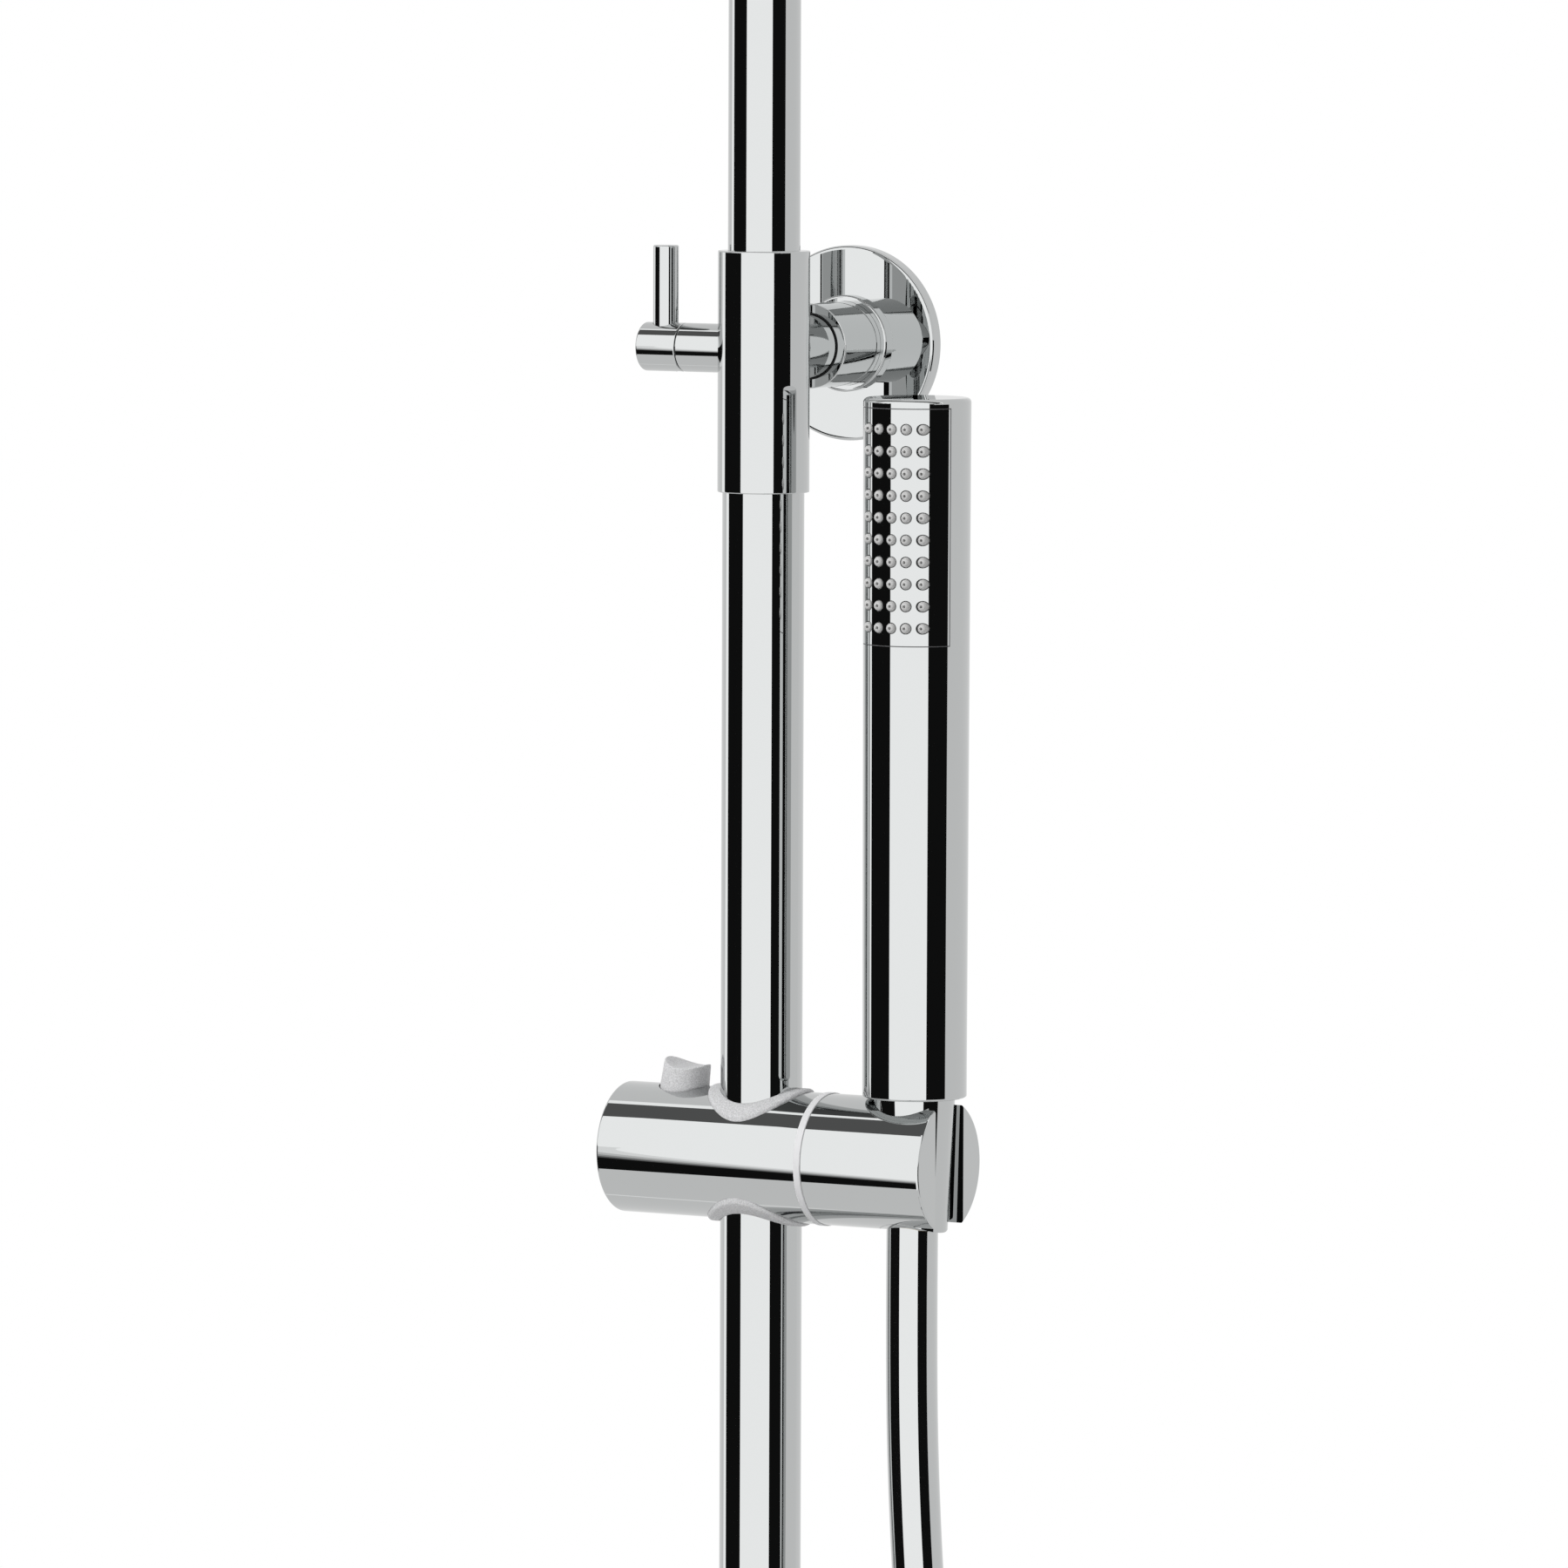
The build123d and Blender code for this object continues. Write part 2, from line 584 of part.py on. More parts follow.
def button_spring():
    """Return spring under the button."""
    radius = BUTTON_D / 3
    rise = SPRING_HEIGHT - SPRING_WIRE - 2 * FACE_GAP
    wire = Helix(rise / SPRING_TURNS, rise, radius)
    section = Plane(origin=wire @ 0, z_dir=wire % 0) * Circle(SPRING_WIRE / 2)
    spring = sweep(section, path=wire, is_frenet=True)
    foot = -spring_floor() + SPRING_WIRE / 2 + FACE_GAP
    return button_axis() * Pos(0, 0, foot) * spring


def friction_washer():
    """Washer between the clamp and the turning holder."""
    outer = CLAMP_R + WASHER_PROUD
    washer = rod_x(CLAMP_RIGHT, CLAMP_RIGHT + WASHER_THICK, outer)
    washer = round_ends(washer, Axis.X, (CLAMP_RIGHT, CLAMP_RIGHT + WASHER_THICK), WASHER_PROUD)
    return washer - rod_x(CLAMP_RIGHT - OVERCUT, HOLDER_START + OVERCUT, SCREW_D / 2 + RUN_GAP)


def disc_start():
    """Place of the disc spring on the pivot screw."""
    return HOLDER_START + HOLDER_WEB + WASHER_GAP


def pivot_screw():
    """Shoulder screw that the holder turns on."""
    head = disc_start() + DISC_THICK
    screw = rod_x(CLAMP_RIGHT - SCREW_DEPTH, head, SCREW_D / 2)
    screw += rod_x(head, head + SCREW_HEAD, SCREW_HEAD_D / 2)
    key = Plane(origin=(head + SCREW_HEAD, RAIL_Y, SLIDER_Z), z_dir=(-1, 0, 0))
    return screw - extrude(key * RegularPolygon(SCREW_KEY / 2, 6), SCREW_HEAD / 2)


def disc_spring():
    """Disc spring that keeps the holder stiff to turn."""
    disc = rod_x(disc_start(), disc_start() + DISC_THICK, SCREW_HEAD_D / 2)
    return disc - rod_x(disc_start() - OVERCUT, disc_start() + 2 * DISC_THICK, SCREW_D / 2 + FIT_GAP)


def seat_cone(gap):
    """Tapered seat of the holder, grown beyond both sides, smaller by a gap."""
    slope = (SEAT_TOP_D - SEAT_BOTTOM_D) / 2 / (2 * CLAMP_R)
    reach = CLAMP_R + HANDSET_LIFT
    top = SEAT_TOP_D / 2 + slope * HANDSET_LIFT - gap
    foot = SEAT_BOTTOM_D / 2 - slope * HANDSET_LIFT - gap
    return Pos(SEAT_X, RAIL_Y, SLIDER_Z - reach) * Cone(foot, top, 2 * reach, align=BOTTOM)


def slot_width():
    """Width of the gap that the hose passes through."""
    return HOSE_D + 2 * SLOT_GAP


def holder_barrel():
    """Turning barrel with a tapered seat and a slot for the hose."""
    barrel = rod_x(HOLDER_START, HOLDER_END, CLAMP_R)
    barrel = round_ends(barrel, Axis.X, (HOLDER_END,), CLAMP_EDGE)
    barrel -= seat_cone(0)
    slot = Box(2 * HOLDER_LIP, slot_width(), 3 * CLAMP_R, align=(Align.MIN, Align.CENTER, Align.CENTER))
    barrel -= Pos(SEAT_X, RAIL_Y, SLIDER_Z) * slot
    barrel -= rod_x(HOLDER_START - OVERCUT, SEAT_X, SCREW_D / 2 + RUN_GAP)
    return barrel - rod_x(HOLDER_START + HOLDER_WEB, SEAT_X, SCREW_HEAD_D / 2 + FACE_GAP)


def handset_cone(inset):
    """The hand shower's outer form, smaller by an inset."""
    foot = HANDSET_FOOT_D / 2 - inset
    top = HANDSET_TOP_D / 2 - inset
    return Pos(SEAT_X, RAIL_Y, HANDSET_FOOT) * Cone(foot, top, HANDSET_LENGTH, align=BOTTOM)


def front_wedge(seam):
    """Upright wedge in front of the hand shower, where its spray panel is."""
    far = 2 * HANDSET_TOP_D
    half = math.radians(PANEL_ANGLE) - 2 * seam / HANDSET_TOP_D
    side = far * math.sin(half)
    back = -far * math.cos(half)
    outline = Polyline((0, 0), (side, back), (side, -far), (-side, -far), (-side, back), close=True)
    foot = PANEL_FOOT + seam
    return Pos(SEAT_X, RAIL_Y, foot) * extrude(make_face(outline), PANEL_HEIGHT - 2 * seam)


def handset_body():
    """Tapered tube of the hand shower, with a window for the spray panel."""
    body = handset_cone(0)
    body = round_ends(body, Axis.Z, (HANDSET_TOP,), HANDSET_EDGE)
    body = round_ends(body, Axis.Z, (HANDSET_FOOT,), FOOT_EDGE)
    inside = handset_cone(HANDSET_WALL) - rod_z(
        HANDSET_TOP - HANDSET_WALL, HANDSET_TOP + OVERCUT, HANDSET_TOP_D, x=SEAT_X
    )
    return body - inside - front_wedge(0)


def handset_radius(height):
    """Outer radius of the hand shower at a height."""
    share = (height - HANDSET_FOOT) / HANDSET_LENGTH
    return (HANDSET_FOOT_D + share * (HANDSET_TOP_D - HANDSET_FOOT_D)) / 2


def nozzle_places():
    """Places of the nozzles on the panel, each with its Z axis straight to the front."""
    middle = (NOZZLE_COLUMNS - 1) / 2
    heights = [PANEL_TOP - PANEL_ABOVE - row * NOZZLE_PITCH for row in range(NOZZLE_ROWS)]
    sides = [(column - middle) * NOZZLE_STEP for column in range(NOZZLE_COLUMNS)]
    return [
        Pos(SEAT_X + side, RAIL_Y - math.sqrt(handset_radius(height) ** 2 - side**2), height)
        * Rot(90, 0, 0)
        for height in heights
        for side in sides
    ]


def spray_plate():
    """Curved metal plate with a hole for each nozzle."""
    plate = (handset_cone(0) - handset_cone(PLATE_THICK)) & front_wedge(PANEL_SEAM)
    hole = Cylinder(NOZZLE_D / 2 + NOZZLE_GAP, HANDSET_TOP_D)
    return plate - [place * hole for place in nozzle_places()]


def nozzle_mat():
    """Soft mat behind the plate, with nozzles that stand out of it."""
    mat = handset_cone(PLATE_THICK) - handset_cone(PLATE_THICK + MAT_THICK)
    mat &= front_wedge(MAT_INSET)
    depth = 2 * (PLATE_THICK + MAT_THICK / 2)
    stem = Pos(0, 0, -depth) * Cylinder(NOZZLE_D / 2, depth, align=BOTTOM)
    tip = Cone(NOZZLE_D / 2, NOZZLE_TIP_D / 2, NOZZLE_PROUD, align=BOTTOM)
    nozzles = Part() + [place * (stem + tip) for place in nozzle_places()]
    return mat + (nozzles - handset_cone(PLATE_THICK + MAT_THICK / 2))


def tray_foot():
    """Lower end of the spray chamber."""
    return PANEL_FOOT - TRAY_FLOOR


def spray_chamber():
    """Half-round chamber that feeds the nozzles."""
    inset = PLATE_THICK + MAT_THICK
    chamber = handset_cone(inset) & rod_z(tray_foot(), PANEL_TOP, HANDSET_TOP_D, x=SEAT_X)
    radius = min(handset_radius(PANEL_FOOT), handset_radius(PANEL_TOP)) - inset - TRAY_WALL
    hollow = rod_z(PANEL_FOOT, PANEL_TOP - TRAY_FLOOR, radius, x=SEAT_X)
    front = Pos(SEAT_X, RAIL_Y, PANEL_FOOT) * Box(
        HANDSET_TOP_D, HANDSET_TOP_D, PANEL_HEIGHT, align=(Align.CENTER, Align.MAX, Align.MIN)
    )
    mouth = Pos(SEAT_X, RAIL_Y, PANEL_FOOT) * Box(
        2 * radius * math.sin(math.radians(PANEL_ANGLE / 2)),
        HANDSET_TOP_D,
        PANEL_HEIGHT - TRAY_FLOOR,
        align=(Align.CENTER, Align.MAX, Align.MIN),
    )
    chamber -= hollow & front
    chamber -= mouth
    bore = HANDSET_PIPE_D / 2 - HANDSET_PIPE_WALL
    return chamber - rod_z(tray_foot() - OVERCUT, PANEL_FOOT + OVERCUT, bore, x=SEAT_X)


def pipe_foot():
    """Lower end of the hand shower's inner pipe."""
    return HANDSET_FOOT + INLET_FLANGE


def handset_waterway():
    """Inner pipe from the inlet to the spray chamber."""
    outer = HANDSET_PIPE_D / 2
    pipe = rod_z(pipe_foot(), tray_foot(), outer, x=SEAT_X)
    return pipe - rod_z(pipe_foot(), tray_foot(), outer - HANDSET_PIPE_WALL, x=SEAT_X)


def handset_inlet():
    """Plug in the hand shower's foot, with a threaded tail."""
    outer = HANDSET_FOOT_D / 2 - HANDSET_WALL - FIT_GAP
    inlet = rod_z(HANDSET_FOOT, pipe_foot(), outer, x=SEAT_X)
    inlet += rod_z(TAIL_END, HANDSET_FOOT, TAIL_D / 2, x=SEAT_X)
    bore = HANDSET_PIPE_D / 2 - HANDSET_PIPE_WALL
    return inlet - rod_z(TAIL_END - OVERCUT, pipe_foot() + OVERCUT, bore, x=SEAT_X)


def inlet_washer():
    """Flat seal between the hose and the hand shower."""
    washer = rod_z(WASHER_END, TAIL_END, TAIL_D / 2, x=SEAT_X)
    return washer - rod_z(WASHER_END, TAIL_END, HOSE_CORE_D / 2, x=SEAT_X)


def below_holder(gap):
    """Everything lower than the slider axis and outside the holder's round side."""
    big = 4 * CLAMP_R
    under = Box(big, big, big, align=(Align.CENTER, Align.CENTER, Align.MAX))
    return Pos(SEAT_X, RAIL_Y, SLIDER_Z) * under - rod_x(SEAT_X - big, SEAT_X + big, CLAMP_R + gap)


def ferrule_flange_end():
    """Lower face of the upper ferrule's flange."""
    return WASHER_END - FERRULE_FLANGE


def hose_cone_nut():
    """Tapered nut of the hose, which rests in the holder's seat."""
    nut = seat_cone(SEAT_GAP) - below_holder(0)
    nut -= rod_z(HANDSET_FOOT, HANDSET_FOOT + SEAT_TOP_D, SEAT_TOP_D, x=SEAT_X)
    nut -= rod_z(ferrule_flange_end(), HANDSET_FOOT + OVERCUT, TAIL_D / 2 + FIT_GAP, x=SEAT_X)
    return nut - rod_z(SLIDER_Z - 2 * CLAMP_R, HANDSET_FOOT, HOSE_R + FIT_GAP, x=SEAT_X)


def hose_top_ferrule():
    """Flanged sleeve on the upper end of the hose."""
    ferrule = rod_z(ferrule_flange_end(), WASHER_END, TAIL_D / 2, x=SEAT_X)
    ferrule += rod_z(SLIDER_Z - 2 * CLAMP_R, WASHER_END, HOSE_R, x=SEAT_X)
    ferrule -= rod_z(SLIDER_Z - 3 * CLAMP_R, WASHER_END + OVERCUT, HOSE_CORE_D / 2, x=SEAT_X)
    return ferrule - below_holder(0)


def hose_points():
    """Points of the hose from the holder to its coil."""
    return [Vector(SEAT_X + x, RAIL_Y + y, SLIDER_Z + z) for x, y, z in HOSE_ROUTE]


def hose_radii(points):
    """Largest bend radius that fits each corner of the route."""
    radii = []
    for before, corner, after in zip(points, points[1:], points[2:]):
        turn = math.radians((corner - before).get_angle(after - corner))
        run = min((corner - before).length, (after - corner).length)
        radii.append(BEND_SHARE * run / math.tan(turn / 2))
    return radii


def hose_line():
    """Centre line of the hose from the holder to its coil."""
    points = hose_points()
    return FilletPolyline(*points, radius=hose_radii(points))


def coil_radius():
    """Radius of the coil's turns, which takes up the rest of the hose."""
    run = hose_line().length - (CLAMP_R + HOSE_ROUTE[0][2])
    return (HOSE_LENGTH - run - TAIL_UP) / (2 * math.pi * COIL_TURNS)


def coil_y():
    """Depth of the coil's axis, in front of the hose."""
    return RAIL_Y + HOSE_ROUTE[-1][1] - coil_radius()


def hose_run():
    """Hose from the holder down to its coil."""
    line = hose_line()
    section = Plane(origin=line @ 0, z_dir=line % 0) * Circle(HOSE_R)
    tube = sweep(section, path=line)
    print("hose bend radii", [round(radius) for radius in hose_radii(hose_points())])
    print("hose volume ratio", round(tube.volume / (math.pi * HOSE_R**2 * line.length), 4))
    return tube - rod_x(SEAT_X - 2 * CLAMP_R, SEAT_X + 2 * CLAMP_R, CLAMP_R + FACE_GAP)


def hose_coil():
    """Outer shape of the tied coil of spare hose."""
    wide = COIL_DRIFT + HOSE_D
    middle = COIL_X + COIL_DRIFT / 2
    outer = rod_x(middle - wide / 2, middle + wide / 2, coil_radius() + HOSE_R, coil_y(), COIL_Z)
    inner = rod_x(middle - wide, middle + wide, coil_radius() - HOSE_R, coil_y(), COIL_Z)
    print("coil radius", round(coil_radius(), 4))
    ring = outer - inner
    return fillet(ring.edges().filter_by(GeomType.CIRCLE), HOSE_R - FACE_GAP)


def hose_tail():
    """Straight free end of the hose."""
    return rod_z(COIL_Z, TAIL_TOP, HOSE_R, x=TAIL_X, y=coil_y() - coil_radius())


def hose_tie():
    """Strap round the turns of the coil, at its top."""
    wide = COIL_DRIFT + HOSE_D + 2 * TIE_GAP
    tall = HOSE_D + 2 * TIE_GAP
    place = Pos(COIL_X + COIL_DRIFT / 2, coil_y(), COIL_Z + coil_radius())
    band = Box(wide + 2 * TIE_THICK, TIE_WIDTH, tall + 2 * TIE_THICK)
    band = fillet(band.edges().filter_by(Axis.Y), HOSE_R)
    hole = fillet(Box(wide, 2 * TIE_WIDTH, tall).edges().filter_by(Axis.Y), HOSE_R - TIE_THICK)
    return place * (band - hole)


def ferrule_r():
    """Radius of the crimped sleeve on the hose's free end."""
    return HOSE_R + FERRULE_WALL


def ferrule_flange_r():
    """Radius of the flange that the end nut pulls on."""
    return UNION_R - FACE_GAP


def free_end(start, end, radius):
    """Round bar on the axis of the hose's free end, from heights above its end."""
    axis_y = coil_y() - coil_radius()
    return rod_z(TAIL_TOP + start, TAIL_TOP + end, radius, x=TAIL_X, y=axis_y)


def hose_end_ferrule():
    """Flanged sleeve on the free end of the hose."""
    ferrule = free_end(0, FERRULE_LENGTH, ferrule_r())
    axis = Pos(TAIL_X, coil_y() - coil_radius(), TAIL_TOP)
    crimp = Torus(ferrule_r() + CRIMP_DEPTH, 2 * CRIMP_DEPTH)
    ferrule -= [axis * Pos(0, 0, (row + 1) * CRIMP_PITCH) * crimp for row in range(CRIMPS)]
    ferrule += free_end(FERRULE_LENGTH - FERRULE_FLANGE, FERRULE_LENGTH, ferrule_flange_r())
    return ferrule - free_end(-OVERCUT, FERRULE_LENGTH + OVERCUT, HOSE_CORE_D / 2)


def nut_foot():
    """Lower end of the end nut, above the end of the hose."""
    return FERRULE_LENGTH - FERRULE_FLANGE - FACE_GAP - NUT_LIP


def hose_end_nut():
    """Six-sided union nut that turns on the hose's free end."""
    flat = UNION_R + NUT_WALL
    place = Pos(TAIL_X, coil_y() - coil_radius(), TAIL_TOP + nut_foot())
    corner = flat / math.cos(math.pi / NUT_SIDES)
    blank = Cylinder(corner, NUT_LENGTH, align=BOTTOM)
    blank = chamfer(blank.edges().filter_by(GeomType.CIRCLE), NUT_EDGE)
    nut = place * (blank & extrude(RegularPolygon(flat, NUT_SIDES, major_radius=False), NUT_LENGTH))
    nut -= free_end(nut_foot() - OVERCUT, nut_foot() + NUT_LENGTH, ferrule_r() + RUN_GAP)
    thread = FERRULE_LENGTH + TAIL_WASHER + FACE_GAP
    nut -= free_end(nut_foot() + NUT_LIP, thread, UNION_R + THREAD_RELIEF)
    return nut - free_end(thread, nut_foot() + NUT_LENGTH + OVERCUT, UNION_R)


def hose_end_washer():
    """Flat seal on the free end's flange."""
    end = FERRULE_LENGTH + TAIL_WASHER
    washer = free_end(FERRULE_LENGTH, end, ferrule_flange_r())
    return washer - free_end(FERRULE_LENGTH, end, HOSE_CORE_D / 2)


PIECES = [
    riser_tube,
    riser_o_ring,
    diverter_body,
    diverter_neck,
    diverter_liner,
    spindle_o_ring,
    diverter_spindle,
    lever_hub,
    lever_stick,
    lever_set_screw,
    rail_tube,
    rail_seal,
    rail_end_cap,
    inlet_spigot,
    spigot_o_ring,
    inlet_wiper,
    wall_nipple,
    bracket_sleeve,
    bracket_set_screw,
    bracket_ring,
    wall_rose,
    rose_seal,
    grip_collar,
    clamp_body,
    release_button,
    lock_pin,
    button_spring,
    friction_washer,
    pivot_screw,
    disc_spring,
    holder_barrel,
    handset_body,
    spray_plate,
    nozzle_mat,
    spray_chamber,
    handset_waterway,
    handset_inlet,
    inlet_washer,
    hose_cone_nut,
    hose_top_ferrule,
    hose_run,
    hose_coil,
    hose_tail,
    hose_tie,
    hose_end_ferrule,
    hose_end_nut,
    hose_end_washer,
]


def main():
    os.makedirs("parts", exist_ok=True)
    for piece in PIECES:
        export_step(piece(), f"parts/{piece.__name__}.step")
    for name, side in (("upper_bush", 1), ("lower_bush", -1)):
        export_step(bush(side), f"parts/{name}.step")


main()
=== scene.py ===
"""Chrome shower rail with a diverter, a slide holder, a hand shower and its hose."""

import math

import bmesh
import bpy
from bpy.props import FloatProperty, FloatVectorProperty, IntProperty, PointerProperty
from mathutils import Matrix, Vector

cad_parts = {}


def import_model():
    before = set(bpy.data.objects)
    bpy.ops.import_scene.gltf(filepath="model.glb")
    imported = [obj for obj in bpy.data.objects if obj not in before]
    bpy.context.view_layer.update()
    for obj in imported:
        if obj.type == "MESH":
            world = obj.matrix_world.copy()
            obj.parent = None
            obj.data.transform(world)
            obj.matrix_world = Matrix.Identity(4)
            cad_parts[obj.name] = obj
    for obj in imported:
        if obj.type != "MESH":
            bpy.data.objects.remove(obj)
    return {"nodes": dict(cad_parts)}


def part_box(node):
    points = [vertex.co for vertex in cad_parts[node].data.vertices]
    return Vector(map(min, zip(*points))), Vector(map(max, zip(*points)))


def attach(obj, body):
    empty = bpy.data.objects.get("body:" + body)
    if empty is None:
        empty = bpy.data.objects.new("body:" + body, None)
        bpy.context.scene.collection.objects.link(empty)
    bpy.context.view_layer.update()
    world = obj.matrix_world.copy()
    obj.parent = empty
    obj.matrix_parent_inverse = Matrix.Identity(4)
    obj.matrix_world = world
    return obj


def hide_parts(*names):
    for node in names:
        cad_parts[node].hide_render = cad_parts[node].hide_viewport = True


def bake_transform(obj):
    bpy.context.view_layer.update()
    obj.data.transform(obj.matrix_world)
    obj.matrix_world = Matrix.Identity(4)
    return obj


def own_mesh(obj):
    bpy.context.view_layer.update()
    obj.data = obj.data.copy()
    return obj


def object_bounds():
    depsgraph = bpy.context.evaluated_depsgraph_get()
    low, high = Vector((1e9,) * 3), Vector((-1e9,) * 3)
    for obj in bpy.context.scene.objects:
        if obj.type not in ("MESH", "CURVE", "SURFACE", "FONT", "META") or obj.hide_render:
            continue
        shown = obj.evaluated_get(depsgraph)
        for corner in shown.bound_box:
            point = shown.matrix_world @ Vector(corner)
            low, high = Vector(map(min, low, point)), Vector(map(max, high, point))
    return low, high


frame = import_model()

bl_info = {
    "name": "Chrome Shower Rail",
    "version": (1, 0, 0),
    "blender": (4, 5, 0),
    "location": "3D View > Sidebar > Shower",
    "description": "Finishes a chrome shower rail with a diverter, a slide holder and a hand shower",
    "category": "Object",
}

CAD_BOX = [list(corner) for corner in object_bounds()]


def middle(node):
    """Middle of a node's box."""
    low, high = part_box(node)
    return (low + high) / 2


RAIL_AXIS = middle("rail_tube")
SLIDER_AXIS = middle("clamp_body")
SEAT_AXIS = middle("handset_body")

# Route of the hose below the holder's seat, from the slider axis, in metres.
# The coil starts at the last point.
HOSE_ROUTE = [
    (-0.0005, 0.0, -0.012),
    (-0.0008, 0.0, -0.055),
    (0.0002, 0.0, -0.100),
    (0.0036, 0.0, -0.150),
    (0.0058, 0.0002, -0.198),
    (0.0060, 0.0, -0.246),
]
HOSE_SIDES = 14             # steps of the hose's roundness

SHARP_ANGLE = math.radians(35)
MERGE_DISTANCE = 1e-7
PANEL_STEPS = 32            # steps across the spray panel
NOZZLE_STEPS = 20           # steps round a nozzle
THREAD_STEPS = 64           # steps round the wall's thread
UNION_STEPS = 48            # steps round the union nut's thread
CHROME_POLISH = (0.003, 0.009, 90.0)  # least and most roughness, and the scale of the haze

FLOAT = "NodeSocketFloat"
VECTOR = "NodeSocketVector"


def length_property(name, description, default):
    """A size in metres."""
    return FloatProperty(
        name=name, description=description, default=default, unit="LENGTH", subtype="DISTANCE", precision=4
    )


def angle_property(name, description, degrees):
    """An angle, shown in degrees."""
    return FloatProperty(
        name=name, description=description, default=math.radians(degrees), unit="ROTATION", subtype="ANGLE"
    )


def light_property(name, description, default):
    """A level of light."""
    return FloatProperty(name=name, description=description, default=default, precision=4)


def colour_property(name, description, default):
    """A linear colour."""
    return FloatVectorProperty(
        name=name, description=description, default=default, subtype="COLOR", size=3, min=0.0, max=1.0
    )


class ShowerSizes(bpy.types.PropertyGroup):
    """Sizes of the pieces that are modelled here."""

    hose_diameter: length_property("Hose diameter", "Outer diameter of the hose", 0.0157)
    hose_length: length_property("Hose length", "Length of the hose between its ferrules", 1.5)
    coil_radius: length_property("Coil radius", "Middle of the hose to the coil's axis", 0.0777879)
    coil_pitch: length_property("Coil pitch", "Distance between the coil's turns", 0.0161)
    coil_turns: FloatProperty(name="Coil turns", description="Turns of the put-away hose", default=2.5)
    coil_steps: IntProperty(name="Coil steps", description="Route points on each turn", default=24)
    hose_tail: length_property("Hose tail", "Straight hose between the coil and the end ferrule", 0.052)
    handset_top: length_property("Hand shower top", "Diameter of the hand shower's upper end", 0.03265)
    handset_foot: length_property("Hand shower foot", "Diameter of the hand shower's lower end", 0.03165)
    panel_angle: angle_property("Panel angle", "Edge of the spray panel from its middle", 67.0)
    button_lean: angle_property("Button lean", "Lean of the button towards the rail", 8.0)
    button_stroke: length_property("Button stroke", "How far the button goes in", 0.004)
    spring_height: length_property("Spring height", "Return spring along its axis", 0.0064)
    plate_thickness: length_property("Plate", "Thickness of the spray plate", 0.0012)
    panel_seam: length_property("Panel seam", "Gap round the spray plate", 0.0003)
    mat_thickness: length_property("Mat", "Thickness of the nozzle mat", 0.0015)
    mat_inset: length_property("Mat inset", "Mat inside the panel's edge", 0.0012)
    nozzle_rows: IntProperty(name="Nozzle rows", description="Rows of nozzles", default=10)
    nozzle_columns: IntProperty(name="Nozzle columns", description="Columns of nozzles", default=5)
    nozzle_pitch: length_property("Nozzle pitch", "Between rows", 0.00665)
    nozzle_step: length_property("Nozzle step", "Between columns", 0.0046)
    nozzle_above: length_property("First row", "First row below the top of the panel", 0.0063)
    nozzle_diameter: length_property("Nozzle diameter", "Diameter of a nozzle", 0.003)
    nozzle_height: length_property("Nozzle height", "Nozzle in front of the panel", 0.0011)
    nozzle_hole: length_property("Nozzle hole", "Diameter of a nozzle's hole", 0.00085)
    thread_pitch: length_property("Thread pitch", "Half inch pipe thread", 0.001814)
    thread_depth: length_property("Thread depth", "Root to crest", 0.00116)


class ShowerFinishes(bpy.types.PropertyGroup):
    """Colours of the finishes."""

    chrome: colour_property("Chrome", "Polished chrome plate", (0.54, 0.551, 0.551))
    brass: colour_property("Brass", "Bare brass inside the fittings", (0.70, 0.50, 0.22))
    steel: colour_property("Steel", "Screws and springs", (0.55, 0.56, 0.57))
    rubber: colour_property("Rubber", "Ring seals and washers", (0.022, 0.022, 0.023))
    frosted: colour_property("Frosted plastic", "Button and bushes", (0.66, 0.66, 0.67))
    washer: colour_property("Washer", "Ring between the clamp and the holder", (0.80, 0.80, 0.81))
    # Dark grey of the frame in the panel's seam: a painted reflection, the mid-grey line that the seam's
    # edges show
    painted_seam_line: colour_property("Panel seal", "Frame round the spray plate", (0.10, 0.10, 0.105))
    silicone: colour_property("Silicone", "Spray nozzles", (0.60, 0.60, 0.595))
    inner: colour_property("Inner plastic", "Hidden mouldings", (0.70, 0.70, 0.67))
    strap: colour_property("Strap", "Tie round the coil", (0.035, 0.036, 0.040))


class ShowerStage(bpy.types.PropertyGroup):
    """Camera, light and surroundings."""

    azimuth: angle_property("Azimuth", "Camera to the right of straight on", 29.0)
    elevation: angle_property("Elevation", "Camera above the horizon", 4.66)
    roll: angle_property("Roll", "Camera turned about its own axis", 0.195)
    distance: length_property("Distance", "Camera to its target", 3.5)
    target: FloatVectorProperty(
        name="Target", description="Point at the picture's middle", default=(0.00574, -0.0543, -0.1323),
        subtype="XYZ", unit="LENGTH", precision=4,
    )
    lens: FloatProperty(name="Lens", description="Focal length", default=264.0, unit="CAMERA")
    room: light_property("Room", "Level of the room that the chrome shows", 0.855)
    white: light_property("White wall", "Level of the wall in front", 1.43)
    black: light_property("Black blocks", "Level of the blocks beside the wall", 0.0078)
    ceiling: light_property("Ceiling", "Level of the ceiling in front", 0.128)
    ambient: light_property("Ambient", "Even light on the dull pieces", 0.5)
    key_power: FloatProperty(
        name="Key light", description="Power of the soft lamp", default=80.0, unit="POWER"
    )
    floor_drop: length_property("Floor", "Floor below the lowest piece, clear of the coil's travel", 0.17)
    floor_radius: length_property("Floor radius", "Size of the round floor", 1.1)
    floor_colour: colour_property("Floor colour", "Pale floor", (0.86, 0.86, 0.86))


# Helpers for meshes and nodes


def settings():
    """The properties that a user can change."""
    scene = bpy.context.scene
    return scene.shower_sizes, scene.shower_finishes, scene.shower_stage


